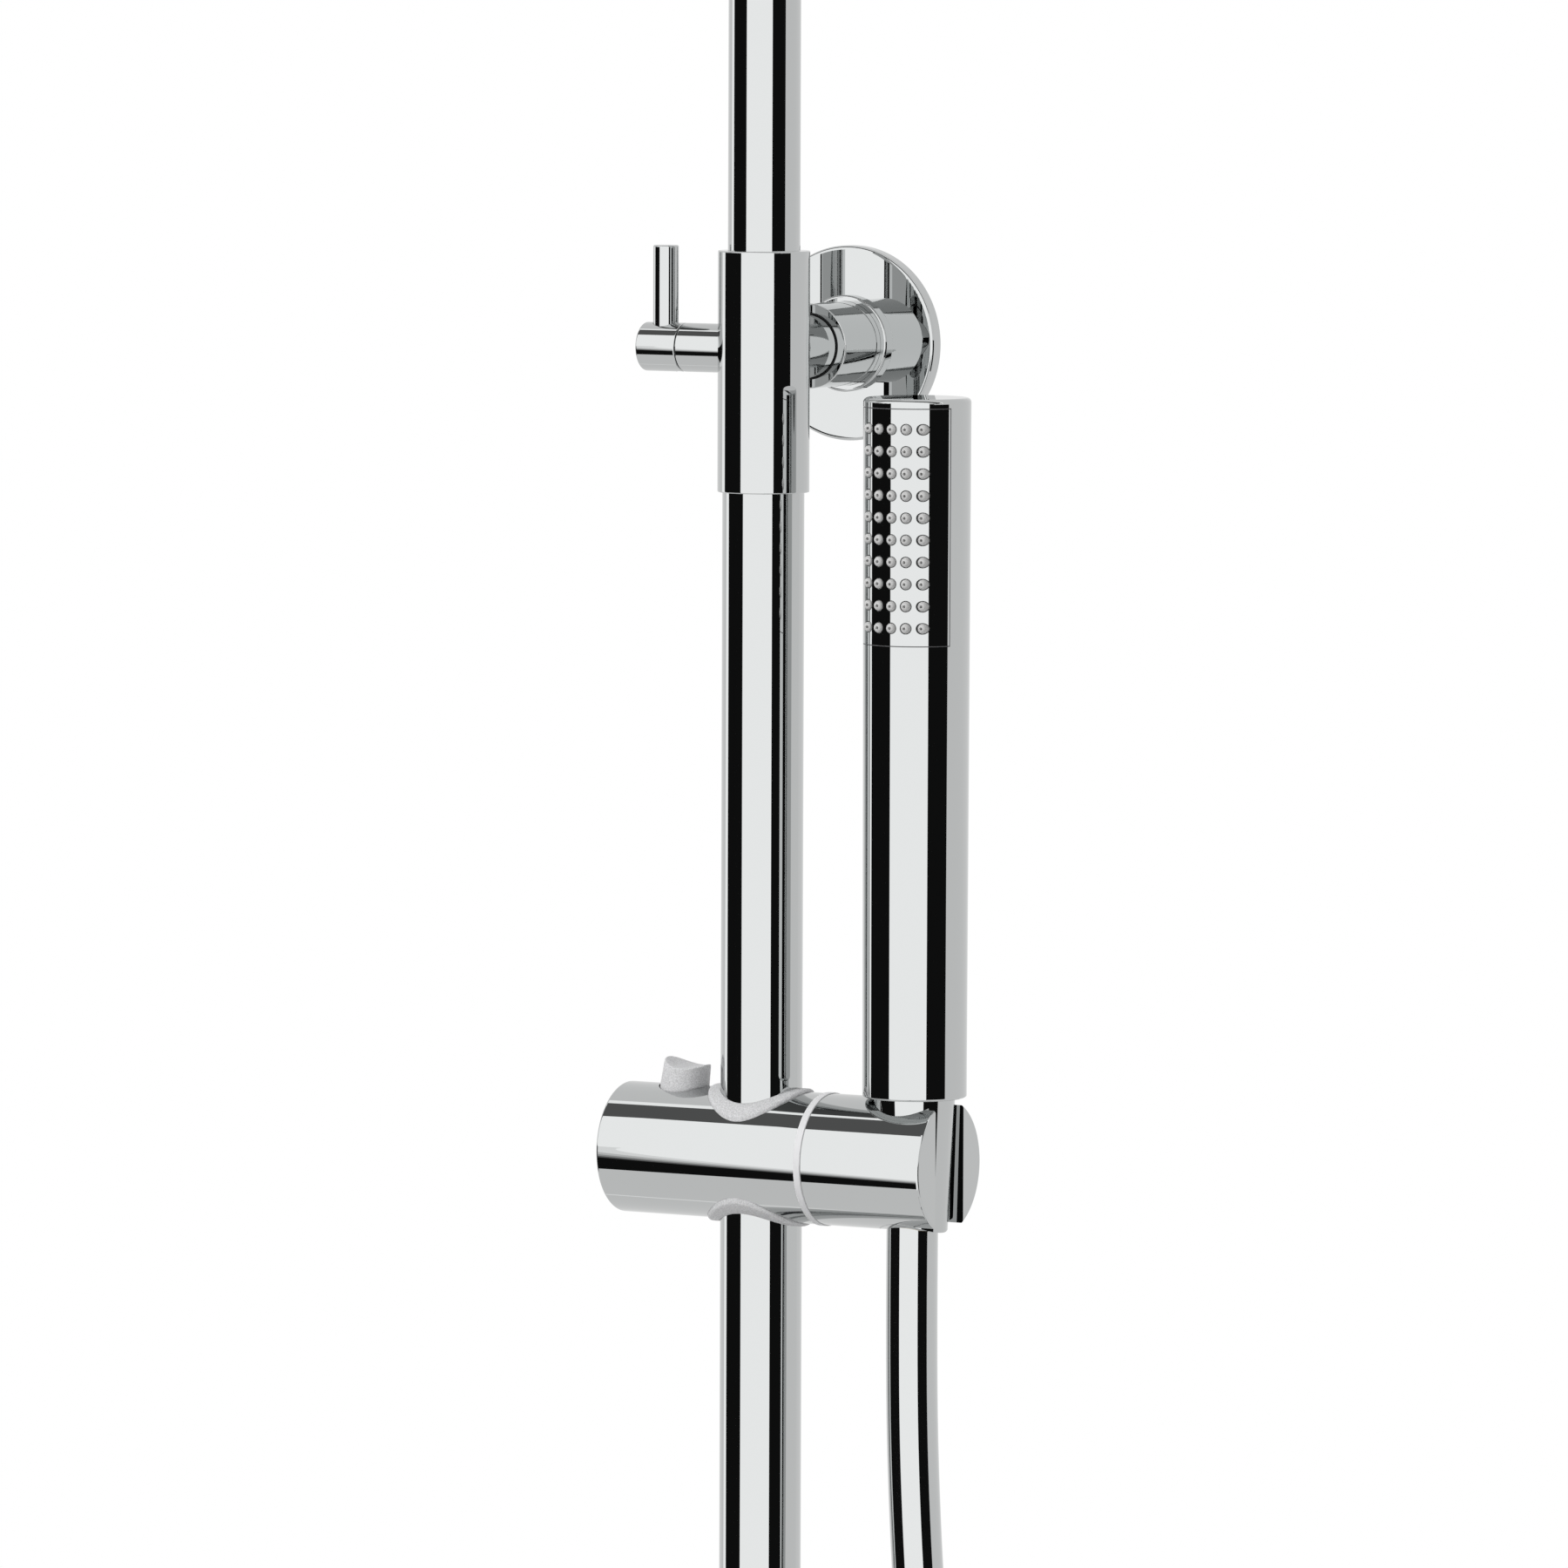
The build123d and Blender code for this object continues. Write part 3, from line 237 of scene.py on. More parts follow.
def new_piece(name, mesh, material, body=None):
    """An object at the origin that rides on a body, with its place in its mesh."""
    piece = bpy.data.objects.new(name, mesh)
    bpy.context.scene.collection.objects.link(piece)
    mesh.materials.clear()
    mesh.materials.append(material)
    mesh.shade_smooth()
    mesh.set_sharp_from_angle(angle=SHARP_ANGLE)
    if body:
        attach(piece, body)
    return piece


def turned(form, outline, place, segments, closed=False):
    """Spins (radius, height) points about a place's Z axis."""
    points = [form.verts.new(place @ Vector((radius, 0.0, height))) for radius, height in outline]
    pairs = zip(points, points[1:] + points[:1]) if closed else zip(points, points[1:])
    edges = [form.edges.new(pair) for pair in pairs]
    bmesh.ops.spin(
        form, geom=points + edges, cent=place.translation, axis=place.col[2].to_3d(),
        angle=2 * math.pi, steps=segments, use_merge=True,
    )


def ridge(form, outline, place, pitch, turns, segments):
    """Winds a closed (radius, height) outline round a place's Z axis, as a screw thread."""
    axis = place.col[2].to_3d()
    points = [form.verts.new(place @ Vector((radius, 0.0, height))) for radius, height in outline]
    edges = [form.edges.new(pair) for pair in zip(points, points[1:] + points[:1])]
    wound = bmesh.ops.spin(
        form, geom=points + edges, cent=place.translation, axis=axis, dvec=axis * pitch / segments,
        angle=2 * math.pi * turns, steps=segments * turns,
    )
    last = [part for part in wound["geom_last"] if isinstance(part, bmesh.types.BMVert)]
    bmesh.ops.pointmerge(form, verts=points, merge_co=points[0].co)
    bmesh.ops.pointmerge(form, verts=last, merge_co=last[0].co)


def solid_mesh(form, name):
    """A mesh from a form, with its poles closed and its faces outwards."""
    bmesh.ops.remove_doubles(form, verts=form.verts, dist=MERGE_DISTANCE)
    bmesh.ops.recalc_face_normals(form, faces=form.faces)
    mesh = bpy.data.meshes.new(name)
    form.to_mesh(mesh)
    form.free()
    return mesh


def add_node(tree, kind, inputs=None, **options):
    """A node with its options and the values of its sockets."""
    node = tree.nodes.new(kind)
    for name, value in options.items():
        setattr(node, name, value)
    for name, value in (inputs or {}).items():
        node.inputs[name].default_value = value
    return node


def new_material(name):
    """A material with its tree, its shader and Object coordinates."""
    material = bpy.data.materials.new(name)
    material.use_nodes = True
    tree = material.node_tree
    tree.nodes.clear()
    shader = add_node(tree, "ShaderNodeBsdfPrincipled")
    output = add_node(tree, "ShaderNodeOutputMaterial")
    tree.links.new(shader.outputs["BSDF"], output.inputs["Surface"])
    place = add_node(tree, "ShaderNodeTexCoord")
    return material, tree, shader, place.outputs["Object"]


def opaque(colour):
    """A colour with its alpha."""
    return (*colour, 1.0)


def new_group(name, inputs, outputs):
    """A shader group with its sockets, and the nodes at its two ends."""
    group = bpy.data.node_groups.new(name, "ShaderNodeTree")
    for direction, sockets in (("INPUT", inputs), ("OUTPUT", outputs)):
        for socket, kind in sockets.items():
            group.interface.new_socket(socket, in_out=direction, socket_type=kind)
    return group, add_node(group, "NodeGroupInput"), add_node(group, "NodeGroupOutput")


def grain_group():
    """Shader group: fine noise, as a value between two limits and as a height."""
    name = "fine_grain"
    if name in bpy.data.node_groups:
        return bpy.data.node_groups[name]
    group, source, sink = new_group(
        name,
        {"Vector": VECTOR, "Scale": FLOAT, "Low": FLOAT, "High": FLOAT},
        {"Value": FLOAT, "Height": FLOAT},
    )
    noise = add_node(group, "ShaderNodeTexNoise", {"Detail": 3.0, "Roughness": 0.6})
    spread = add_node(group, "ShaderNodeMapRange", {"From Min": 0.3, "From Max": 0.7})
    link = group.links.new
    link(source.outputs["Vector"], noise.inputs["Vector"])
    link(source.outputs["Scale"], noise.inputs["Scale"])
    link(noise.outputs["Fac"], spread.inputs["Value"])
    link(source.outputs["Low"], spread.inputs["To Min"])
    link(source.outputs["High"], spread.inputs["To Max"])
    link(spread.outputs["Result"], sink.inputs["Value"])
    link(noise.outputs["Fac"], sink.inputs["Height"])
    return group


def grain(tree, place, scale, low, high):
    """The grain group in a material, with its own values."""
    node = add_node(tree, "ShaderNodeGroup", node_tree=grain_group())
    for name, value in {"Scale": scale, "Low": low, "High": high}.items():
        node.inputs[name].default_value = value
    tree.links.new(place, node.inputs["Vector"])
    return node


def bump(tree, shader, height, strength, distance):
    """Relief on a shader from a height."""
    node = add_node(tree, "ShaderNodeBump", {"Strength": strength, "Distance": distance})
    tree.links.new(height, node.inputs["Height"])
    tree.links.new(node.outputs["Normal"], shader.inputs["Normal"])
    return node


# Finishes


def metal(name, colour, low, high, scale):
    """Metal whose polish varies a little between two roughnesses."""
    material, tree, shader, place = new_material(name)
    shader.inputs["Base Color"].default_value = opaque(colour)
    shader.inputs["Metallic"].default_value = 1.0
    haze = grain(tree, place, scale, low, high)
    tree.links.new(haze.outputs["Value"], shader.inputs["Roughness"])
    return material, tree, shader, place, haze


def chrome():
    """Mirror chrome plate with a faint haze."""
    _, colours, _ = settings()
    material, *_ = metal("polished_chrome", colours.chrome, *CHROME_POLISH)
    return material


def round_group():
    """Shader group: the normal of a true cone about an upright axis.

    It takes over where the mesh's own normal is close to it.
    """
    name = "true_round"
    if name in bpy.data.node_groups:
        return bpy.data.node_groups[name]
    group, source, sink = new_group(
        name,
        {"Place": VECTOR, "Normal": VECTOR, "Axis": VECTOR, "Taper": VECTOR},
        {"Normal": VECTOR},
    )
    into = add_node(group, "ShaderNodeVectorTransform", vector_type="NORMAL")
    into.convert_from, into.convert_to = "WORLD", "OBJECT"
    out = add_node(group, "ShaderNodeVectorTransform", vector_type="NORMAL")
    out.convert_from, out.convert_to = "OBJECT", "WORLD"
    offset = add_node(group, "ShaderNodeVectorMath", operation="SUBTRACT")
    flat = add_node(group, "ShaderNodeVectorMath", {1: (1.0, 1.0, 0.0)}, operation="MULTIPLY")
    unit = add_node(group, "ShaderNodeVectorMath", operation="NORMALIZE")
    lean = add_node(group, "ShaderNodeVectorMath", operation="SUBTRACT")
    close = add_node(group, "ShaderNodeVectorMath", operation="DOT_PRODUCT")
    ten_degrees, five_degrees = 0.985, 0.996
    share = add_node(group, "ShaderNodeMapRange", {"From Min": ten_degrees, "From Max": five_degrees})
    blend = add_node(group, "ShaderNodeMix", data_type="VECTOR")
    factor, first, second = [blend.inputs[index] for index in (0, 4, 5)]
    link = group.links.new
    link(source.outputs["Place"], offset.inputs[0])
    link(source.outputs["Axis"], offset.inputs[1])
    link(offset.outputs["Vector"], flat.inputs[0])
    link(flat.outputs["Vector"], unit.inputs[0])
    link(unit.outputs["Vector"], lean.inputs[0])
    link(source.outputs["Taper"], lean.inputs[1])
    link(source.outputs["Normal"], into.inputs["Vector"])
    link(lean.outputs["Vector"], close.inputs[0])
    link(into.outputs["Vector"], close.inputs[1])
    link(close.outputs["Value"], share.inputs["Value"])
    link(share.outputs["Result"], factor)
    link(into.outputs["Vector"], first)
    link(lean.outputs["Vector"], second)
    link(blend.outputs[1], out.inputs["Vector"])
    link(out.outputs["Vector"], sink.inputs["Normal"])
    return group


def handset_chrome():
    """Chrome of the hand shower, whose plate and body mirror as one round surface."""
    sizes, colours, _ = settings()
    material, tree, shader, place, _ = metal("handset_chrome", colours.chrome, *CHROME_POLISH)
    foot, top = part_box("handset_body")
    surface = add_node(tree, "ShaderNodeNewGeometry")
    true = add_node(tree, "ShaderNodeGroup", node_tree=round_group())
    taper = (sizes.handset_top - sizes.handset_foot) / 2 / (top.z - foot.z)
    true.inputs["Axis"].default_value = SEAT_AXIS
    true.inputs["Taper"].default_value = (0.0, 0.0, taper)
    tree.links.new(place, true.inputs["Place"])
    tree.links.new(surface.outputs["Normal"], true.inputs["Normal"])
    tree.links.new(true.outputs["Normal"], shader.inputs["Normal"])
    return material


def hose_chrome():
    """Silver foil under the hose's clear skin, a little softer than the plate."""
    _, colours, _ = settings()
    material, _, shader, *_ = metal("hose_silver", colours.chrome, 0.012, 0.03, 160.0)
    shader.inputs["Coat Weight"].default_value = 0.3
    shader.inputs["Coat Roughness"].default_value = 0.03
    return material


def brass():
    """Turned brass."""
    _, colours, _ = settings()
    material, tree, shader, _, haze = metal("turned_brass", colours.brass, 0.18, 0.32, 700.0)
    bump(tree, shader, haze.outputs["Height"], 0.15, 0.0001)
    return material


def steel():
    """Plain steel."""
    _, colours, _ = settings()
    material, tree, shader, _, haze = metal("plain_steel", colours.steel, 0.2, 0.38, 900.0)
    bump(tree, shader, haze.outputs["Height"], 0.15, 0.0001)
    return material


def dull(name, colour, low, high, scale, relief):
    """Plastic or rubber with a fine grain."""
    material, tree, shader, place = new_material(name)
    shader.inputs["Base Color"].default_value = opaque(colour)
    skin = grain(tree, place, scale, low, high)
    tree.links.new(skin.outputs["Value"], shader.inputs["Roughness"])
    bump(tree, shader, skin.outputs["Height"], relief, 0.0002)
    return material, tree, shader, place, skin


def rubber():
    """Black rubber of the seals."""
    _, colours, _ = settings()
    material, *_ = dull("seal_rubber", colours.rubber, 0.5, 0.7, 1500.0, 0.2)
    return material


def silicone():
    """Grey silicone of the nozzles."""
    _, colours, _ = settings()
    material, *_ = dull("nozzle_silicone", colours.silicone, 0.3, 0.45, 1200.0, 0.1)
    return material


def inner_plastic():
    """Plain plastic of the hidden mouldings."""
    _, colours, _ = settings()
    material, *_ = dull("inner_plastic", colours.inner, 0.4, 0.55, 900.0, 0.1)
    return material


def strap_cloth():
    """Woven strap, with light and dark threads in turn."""
    _, colours, _ = settings()
    material, tree, shader, place, _ = dull("strap_cloth", colours.strap, 0.75, 0.95, 2500.0, 0.5)
    light_thread = [2.2 * part for part in colours.strap]
    weave = add_node(tree, "ShaderNodeTexChecker", {"Scale": 1400.0})
    weave.inputs["Color1"].default_value = opaque(colours.strap)
    weave.inputs["Color2"].default_value = opaque(light_thread)
    tree.links.new(place, weave.inputs["Vector"])
    tree.links.new(weave.outputs["Color"], shader.inputs["Base Color"])
    return material


def panel_seal():
    """Dark grey frame round the spray plate, whose grey paints the reflected line of the seam's edges."""
    _, colours, _ = settings()
    material, *_ = dull("panel_seal", colours.painted_seam_line, 0.3, 0.45, 1500.0, 0.05)
    return material


def speckled(name, colour):
    """Frosted plastic with a speckled skin."""
    material, tree, shader, place, _ = dull(name, colour, 0.45, 0.65, 1400.0, 0.35)
    speckle = grain(tree, place, 2600.0, 0.0, 1.0)
    dark = [0.72 * part for part in colour]
    light = [min(1.0, 1.25 * part) for part in colour]
    shade = add_node(tree, "ShaderNodeMix", data_type="RGBA")
    shade.inputs["A"].default_value = opaque(dark)
    shade.inputs["B"].default_value = opaque(light)
    tree.links.new(speckle.outputs["Value"], shade.inputs["Factor"])
    tree.links.new(shade.outputs["Result"], shader.inputs["Base Color"])
    shader.inputs["Subsurface Weight"].default_value = 0.25
    shader.inputs["Subsurface Radius"].default_value = (0.003, 0.003, 0.003)
    shader.inputs["Subsurface Scale"].default_value = 1.0
    return material


def frosted():
    """Frosted plastic of the button and the bushes."""
    _, colours, _ = settings()
    return speckled("frosted_plastic", colours.frosted)


def washer_plastic():
    """Paler plain plastic of the washer."""
    _, colours, _ = settings()
    material, *_ = dull("washer_plastic", colours.washer, 0.45, 0.6, 1400.0, 0.1)
    return material


FINISHES = {
    "chrome": chrome,
    "brass": brass,
    "steel": steel,
    "seal_rubber": rubber,
    "frosted_plastic": frosted,
    "silicone": silicone,
    "inner_plastic": inner_plastic,
    "hose_skin": hose_chrome,
    "strap": strap_cloth,
    "washer": washer_plastic,
    "handset": handset_chrome,
    "panel_seal": panel_seal,
}
OWN_FINISH = {"friction_washer": "washer", "handset_body": "handset", "spray_plate": "handset"}
MADE = {}


def finish(slot):
    """The material of a slot, made once."""
    if slot not in MADE:
        MADE[slot] = FINISHES[slot]()
    return MADE[slot]


class SHOWER_OT_finishes(bpy.types.Operator):
    """Gives every piece of the frame its finish"""

    bl_idname = "shower.finishes"
    bl_label = "Finishes"

    def execute(self, context):
        for name, node in frame["nodes"].items():
            for place in node.material_slots:
                place.material = finish(OWN_FINISH.get(name, place.material.name))
        return {"FINISHED"}


# Hose


def hose_points():
    """Route of the hose: down from the holder, round the coil, and up to its end."""
    sizes, _, _ = settings()
    start = Vector((SEAT_AXIS.x, SEAT_AXIS.y, SLIDER_AXIS.z))
    points = [start + Vector(offset) for offset in HOSE_ROUTE]
    first = points[-1]
    axis = first - Vector((0.0, sizes.coil_radius, 0.0))
    step = 2 * math.pi / sizes.coil_steps
    reach = sizes.coil_radius / math.cos(step / 2)
    steps = round(sizes.coil_turns * sizes.coil_steps)
    for index in range(1, steps):
        turn = index * step
        along = sizes.coil_pitch * turn / (2 * math.pi)
        points.append(axis + Vector((along, reach * math.cos(turn), -reach * math.sin(turn))))
    last = axis + Vector((sizes.coil_pitch * sizes.coil_turns, -sizes.coil_radius, 0.0))
    points.append(last)
    points.append(last + Vector((0.0, 0.0, sizes.hose_tail / 2)))
    points.append(last + Vector((0.0, 0.0, sizes.hose_tail)))
    return points


def smooth_line(name, points):
    """A curve object with one smooth open spline through control points."""
    curve = bpy.data.curves.new(name, "CURVE")
    curve.dimensions = "3D"
    curve.resolution_u = 6
    spline = curve.splines.new("NURBS")
    spline.points.add(len(points) - 1)
    for control, place in zip(spline.points, points):
        control.co = (*place, 1.0)
    spline.order_u = 3
    spline.use_endpoint_u = True
    line = bpy.data.objects.new(name, curve)
    bpy.context.scene.collection.objects.link(line)
    return line


class SHOWER_OT_hose(bpy.types.Operator):
    """Makes the hose as one tube along its route"""

    bl_idname = "shower.hose"
    bl_label = "Hose"

    def execute(self, context):
        sizes, _, _ = settings()
        line = smooth_line("hose_line", hose_points())
        centre = bpy.data.meshes.new_from_object(line)
        line.data.bevel_depth = sizes.hose_diameter / 2
        line.data.bevel_resolution = HOSE_SIDES
        line.data.use_fill_caps = True
        tube = bpy.data.meshes.new_from_object(line)
        bpy.data.objects.remove(line)
        bpy.data.meshes.remove(centre)
        hose = new_piece("hose", tube, finish("hose_skin"))
        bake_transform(hose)
        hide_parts("hose_run", "hose_coil", "hose_tail")
        return {"FINISHED"}


# Spray nozzles


def nozzle_outline():
    """Outline of one nozzle from its foot, over its dome and into its hole."""
    sizes, _, _ = settings()
    radius = sizes.nozzle_diameter / 2
    hole = sizes.nozzle_hole / 2
    mouth = 1.12 * hole
    flat = 0.3 * radius
    height = sizes.nozzle_height
    lip = 0.9 * height
    foot = -sizes.plate_thickness - sizes.mat_thickness
    outline = [(0.0, foot), (radius, foot), (radius, foot / 4)]
    for degrees in range(0, 90, 14):
        turn = math.radians(degrees)
        outline.append((flat + (radius - flat) * math.cos(turn), height * math.sin(turn)))
    outline += [(mouth, height), (hole, lip), (hole, 0.0), (0.0, 0.0)]
    return outline


def handset_radius(height):
    """Radius of the tapered hand shower at a height."""
    sizes, _, _ = settings()
    foot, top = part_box("handset_body")
    share = (height - foot.z) / (top.z - foot.z)
    return (sizes.handset_foot + share * (sizes.handset_top - sizes.handset_foot)) / 2


def curved_bar(form, low, high, outer, inner, start, end, steps):
    """Bar that follows the hand shower's round front, between two heights, depths and angles."""
    axis = Matrix.Translation((SEAT_AXIS.x, SEAT_AXIS.y, 0.0))
    place = axis @ Matrix.Rotation(start - math.pi / 2, 4, "Z")
    outline = [
        (handset_radius(low) - inner, low), (handset_radius(low) - outer, low),
        (handset_radius(high) - outer, high), (handset_radius(high) - inner, high),
    ]
    points = [form.verts.new(place @ Vector((radius, 0.0, height))) for radius, height in outline]
    edges = [form.edges.new(pair) for pair in zip(points, points[1:] + points[:1])]
    swept = bmesh.ops.spin(
        form, geom=points + edges, cent=axis.translation, axis=(0.0, 0.0, 1.0),
        angle=end - start, steps=steps,
    )
    last = [part for part in swept["geom_last"] if isinstance(part, bmesh.types.BMEdge)]
    bmesh.ops.contextual_create(form, geom=edges)
    bmesh.ops.contextual_create(form, geom=last)


class SHOWER_OT_nozzles(bpy.types.Operator):
    """Makes the soft mat with its domed nozzles, and the grey frame round the panel, which paints the
    seam's reflected line
    """

    bl_idname = "shower.nozzles"
    bl_label = "Spray nozzles"

    def execute(self, context):
        self.mat()
        self.painted_seam_line()
        return {"FINISHED"}

    def mat(self):
        """Mat behind the plate, with nozzles that all point straight to the front."""
        sizes, _, _ = settings()
        low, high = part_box("spray_plate")
        form = bmesh.new()
        half = sizes.panel_angle - 2 * sizes.mat_inset / sizes.handset_top
        back = sizes.plate_thickness + sizes.mat_thickness
        inset = sizes.mat_inset
        curved_bar(
            form, low.z + inset, high.z - inset, sizes.plate_thickness, back, -half, half, PANEL_STEPS
        )
        outline = nozzle_outline()
        first = high.z + sizes.panel_seam - sizes.nozzle_above
        for row in range(sizes.nozzle_rows):
            height = first - row * sizes.nozzle_pitch
            for column in range(sizes.nozzle_columns):
                side = (column - (sizes.nozzle_columns - 1) / 2) * sizes.nozzle_step
                front = SEAT_AXIS.y - math.sqrt(handset_radius(height) ** 2 - side**2)
                place = Matrix.Translation((SEAT_AXIS.x + side, front, height))
                turned(form, outline, place @ Matrix.Rotation(math.pi / 2, 4, "X"), NOZZLE_STEPS)
        mesh = solid_mesh(form, "spray_nozzles")
        piece = new_piece("spray_nozzles", mesh, finish("silicone"), "holder")
        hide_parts("nozzle_mat")

    def painted_seam_line(self):
        """Thin grey frame in the seam between the plate and the hand shower, whose grey is a painted
        reflection of the seam's edges.
        """
        sizes, _, _ = settings()
        low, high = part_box("spray_plate")
        seam = sizes.panel_seam
        spare = 0.12 * seam     # left free on each side
        bottom, top = low.z - seam, high.z + seam
        turn = 2 * seam / sizes.handset_top
        slack = 2 * spare / sizes.handset_top
        half = sizes.panel_angle
        depths = (0.2 * seam, 0.6 * sizes.plate_thickness)
        form = bmesh.new()
        for start in (bottom, top - seam):
            end = start + seam
            curved_bar(form, start + spare, end - spare, *depths, slack - half, half - slack, PANEL_STEPS)
        for start in (-half, half - turn):
            end = start + turn
            curved_bar(form, bottom + seam, top - seam, *depths, start + slack, end - slack, 1)
        # Grey frame piece in the seam: its grey is a painted reflection of the seam's edges
        piece = new_piece("panel_seal", solid_mesh(form, "panel_seal"), finish("panel_seal"), "holder")


# Threads


def thread_outline(root, crest, start, pitch):
    """Outline of a thread's ridge, as (radius, height) points."""
    foot = 0.42 * pitch
    tip = foot / 6
    return [(root, start - foot), (crest, start - tip), (crest, start + tip), (root, start + foot)]


class SHOWER_OT_threads(bpy.types.Operator):
    """Cuts the pipe threads of the wall nipple and of the hose's union nut"""

    bl_idname = "shower.threads"
    bl_label = "Threads"

    def execute(self, context):
        self.nipple()
        self.union()
        return {"FINISHED"}

    def nipple(self):
        """Brass nipple with a seat for the spigot and a thread for the wall."""
        sizes, _, _ = settings()
        low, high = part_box("wall_nipple")
        crest = (high.x - low.x) / 2
        root = crest - sizes.thread_depth
        body = crest - 0.00025  # plain end inside the sleeve
        seat = body - 0.0019    # wide bore for the spigot
        bore = 0.0065
        step = low.y + 0.0125   # from the wide bore to the narrow one
        edge = 0.0005
        outline = [
            (seat, low.y), (body, low.y), (body, -edge), (body - edge, 0.0),
            (root, edge), (root, high.y - edge), (root - edge, high.y),
            (bore + edge, high.y), (bore, high.y - edge), (bore, step), (seat, step),
        ]
        place = Matrix.Rotation(-math.pi / 2, 4, "X")
        form = bmesh.new()
        turned(form, outline, place, THREAD_STEPS, closed=True)
        pitch = sizes.thread_pitch
        turns = int((high.y - 3 * edge) / pitch)
        start = high.y - edge - (turns + 0.4) * pitch
        thread = thread_outline(root - edge / 4, crest, start, pitch)
        ridge(form, thread, place, pitch, turns, THREAD_STEPS)
        piece = new_piece("wall_thread", solid_mesh(form, "wall_thread"), finish("brass"), "root")
        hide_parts("wall_nipple")

    def union(self):
        """Thread inside the union nut."""
        sizes, _, _ = settings()
        _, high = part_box("hose_end_nut")
        axis = middle("hose_end_nut")
        wall = 0.01055          # radius of the nut's bore
        crest = wall - sizes.thread_depth
        pitch = sizes.thread_pitch
        turns = 5
        thread = thread_outline(wall, crest, -(turns + 1) * pitch, pitch)
        form = bmesh.new()
        place = Matrix.Translation((axis.x, axis.y, high.z))
        ridge(form, thread, place, pitch, turns, UNION_STEPS)
        piece = new_piece("union_thread", solid_mesh(form, "union_thread"), finish("chrome"), "end_nut")


# Spring


class SHOWER_OT_spring(bpy.types.Operator):
    """Makes the return spring, which rides on the slider"""

    bl_idname = "shower.spring"
    bl_label = "Spring"

    def execute(self, context):
        coil = bpy.data.objects["button_spring"]
        piece = new_piece("return_spring", coil.data.copy(), finish("steel"), "slider")
        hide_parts("button_spring")
        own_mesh(piece)
        return {"FINISHED"}


# Stage


def reflected(name, form, shade):
    """A lit form that only reflections see."""
    mesh = bpy.data.meshes.new(name)
    form.to_mesh(mesh)
    form.free()
    material = bpy.data.materials.new(name)
    material.use_nodes = True
    tree = material.node_tree
    tree.nodes.clear()
    glow = add_node(tree, "ShaderNodeEmission", {"Color": opaque((1.0, 1.0, 1.0)), "Strength": shade})
    output = add_node(tree, "ShaderNodeOutputMaterial")
    tree.links.new(glow.outputs["Emission"], output.inputs["Surface"])
    mesh.materials.append(material)
    sheet = bpy.data.objects.new(name, mesh)
    bpy.context.scene.collection.objects.link(sheet)
    for rays in ("camera", "diffuse", "shadow", "transmission", "volume_scatter"):
        setattr(sheet, f"visible_{rays}", False)


def card(name, corners, shade):
    """A flat card with four corners."""
    form = bmesh.new()
    form.faces.new([form.verts.new(corner) for corner in corners])
    reflected(name, form, shade)


def upright(name, start, end, low, high, shade):
    """A card that stands on a line between two points of the floor."""
    card(name, [(*start, low), (*end, low), (*end, high), (*start, high)], shade)


def level(name, front, back, height, shade):
    """A wide card that lies at one height."""
    left, right = -200.0, 200.0
    corners = [(left, front, height), (right, front, height), (right, back, height), (left, back, height)]
    card(name, corners, shade)


def aside(distance, degrees):
    """How far aside a direction is, at a distance."""
    return distance * math.tan(math.radians(degrees))


def room():
    """Grey shell round the studio, which the chrome shows."""
    _, _, stage = settings()
    form = bmesh.new()
    bmesh.ops.create_uvsphere(form, u_segments=48, v_segments=24, radius=300.0)
    reflected("grey_room", form, stage.room)


def cards():
    """White wall in front, dark blocks beside it, a dark ceiling and bright strips."""
    _, _, stage = settings()
    white, black = stage.white, stage.black
    strip = 0.97 * white
    far = 60.0                  # front wall from the object
    wide = 90.0                 # side walls from the object
    low, head = -42.0, 3.0      # foot of the walls and top of the blocks
    high = aside(far, 58.2)
    left, right = aside(far, -60.0), aside(far, 54.0)
    edge = -30.7                # degrees to the left block
    soft = 0.27                 # degrees that each strip of its soft edge takes
    ahead, behind = aside(wide, -5.0), aside(wide, 8.0)
    upright("front_wall", (left, -far), (right, -far), low, high, white)
    before = 0.01 - far
    for step, share in enumerate((0.1, 0.3, 0.55, 0.8)):
        outer, inner = [aside(far, edge + soft * count) for count in (step, step + 1)]
        upright(f"soft_edge_{step}", (outer, before), (inner, before), low, head, share * white)
    upright("left_block", (aside(far, edge), -far), (-wide, ahead), low, head, black)
    upright("left_strip", (-wide, ahead), (-wide, behind), low, head, strip)
    upright("right_block", (right, -far), (wide, 1.2 * behind), low, head, black)
    over = aside(high, -4.0)
    level("ceiling", -far, over, high, stage.ceiling)
    level("ceiling_strip", over, -0.7 * over, high, strip)
    level("floor_strip", 1.0, 3.0, -far, 0.8 * white)


def world():
    """White behind the object and in its reflections, and an even light on the rest."""
    _, _, stage = settings()
    sky = bpy.data.worlds.new("studio")
    bpy.context.scene.world = sky
    sky.use_nodes = True
    tree = sky.node_tree
    tree.nodes.clear()
    rays = add_node(tree, "ShaderNodeLightPath")
    camera_or_glossy = add_node(tree, "ShaderNodeMath", operation="MAXIMUM")
    direct = add_node(tree, "ShaderNodeMath", operation="MAXIMUM")
    seen = add_node(tree, "ShaderNodeMix", data_type="RGBA")
    seen.inputs["A"].default_value = opaque([stage.ambient] * 3)
    seen.inputs["B"].default_value = opaque((1.0, 1.0, 1.0))
    back = add_node(tree, "ShaderNodeBackground")
    output = add_node(tree, "ShaderNodeOutputWorld")
    link = tree.links.new
    link(rays.outputs["Is Camera Ray"], camera_or_glossy.inputs[0])
    link(rays.outputs["Is Glossy Ray"], camera_or_glossy.inputs[1])
    link(camera_or_glossy.outputs["Value"], direct.inputs[0])
    link(rays.outputs["Is Transmission Ray"], direct.inputs[1])
    link(direct.outputs["Value"], seen.inputs["Factor"])
    link(seen.outputs["Result"], back.inputs["Color"])
    link(back.outputs["Background"], output.inputs["Surface"])


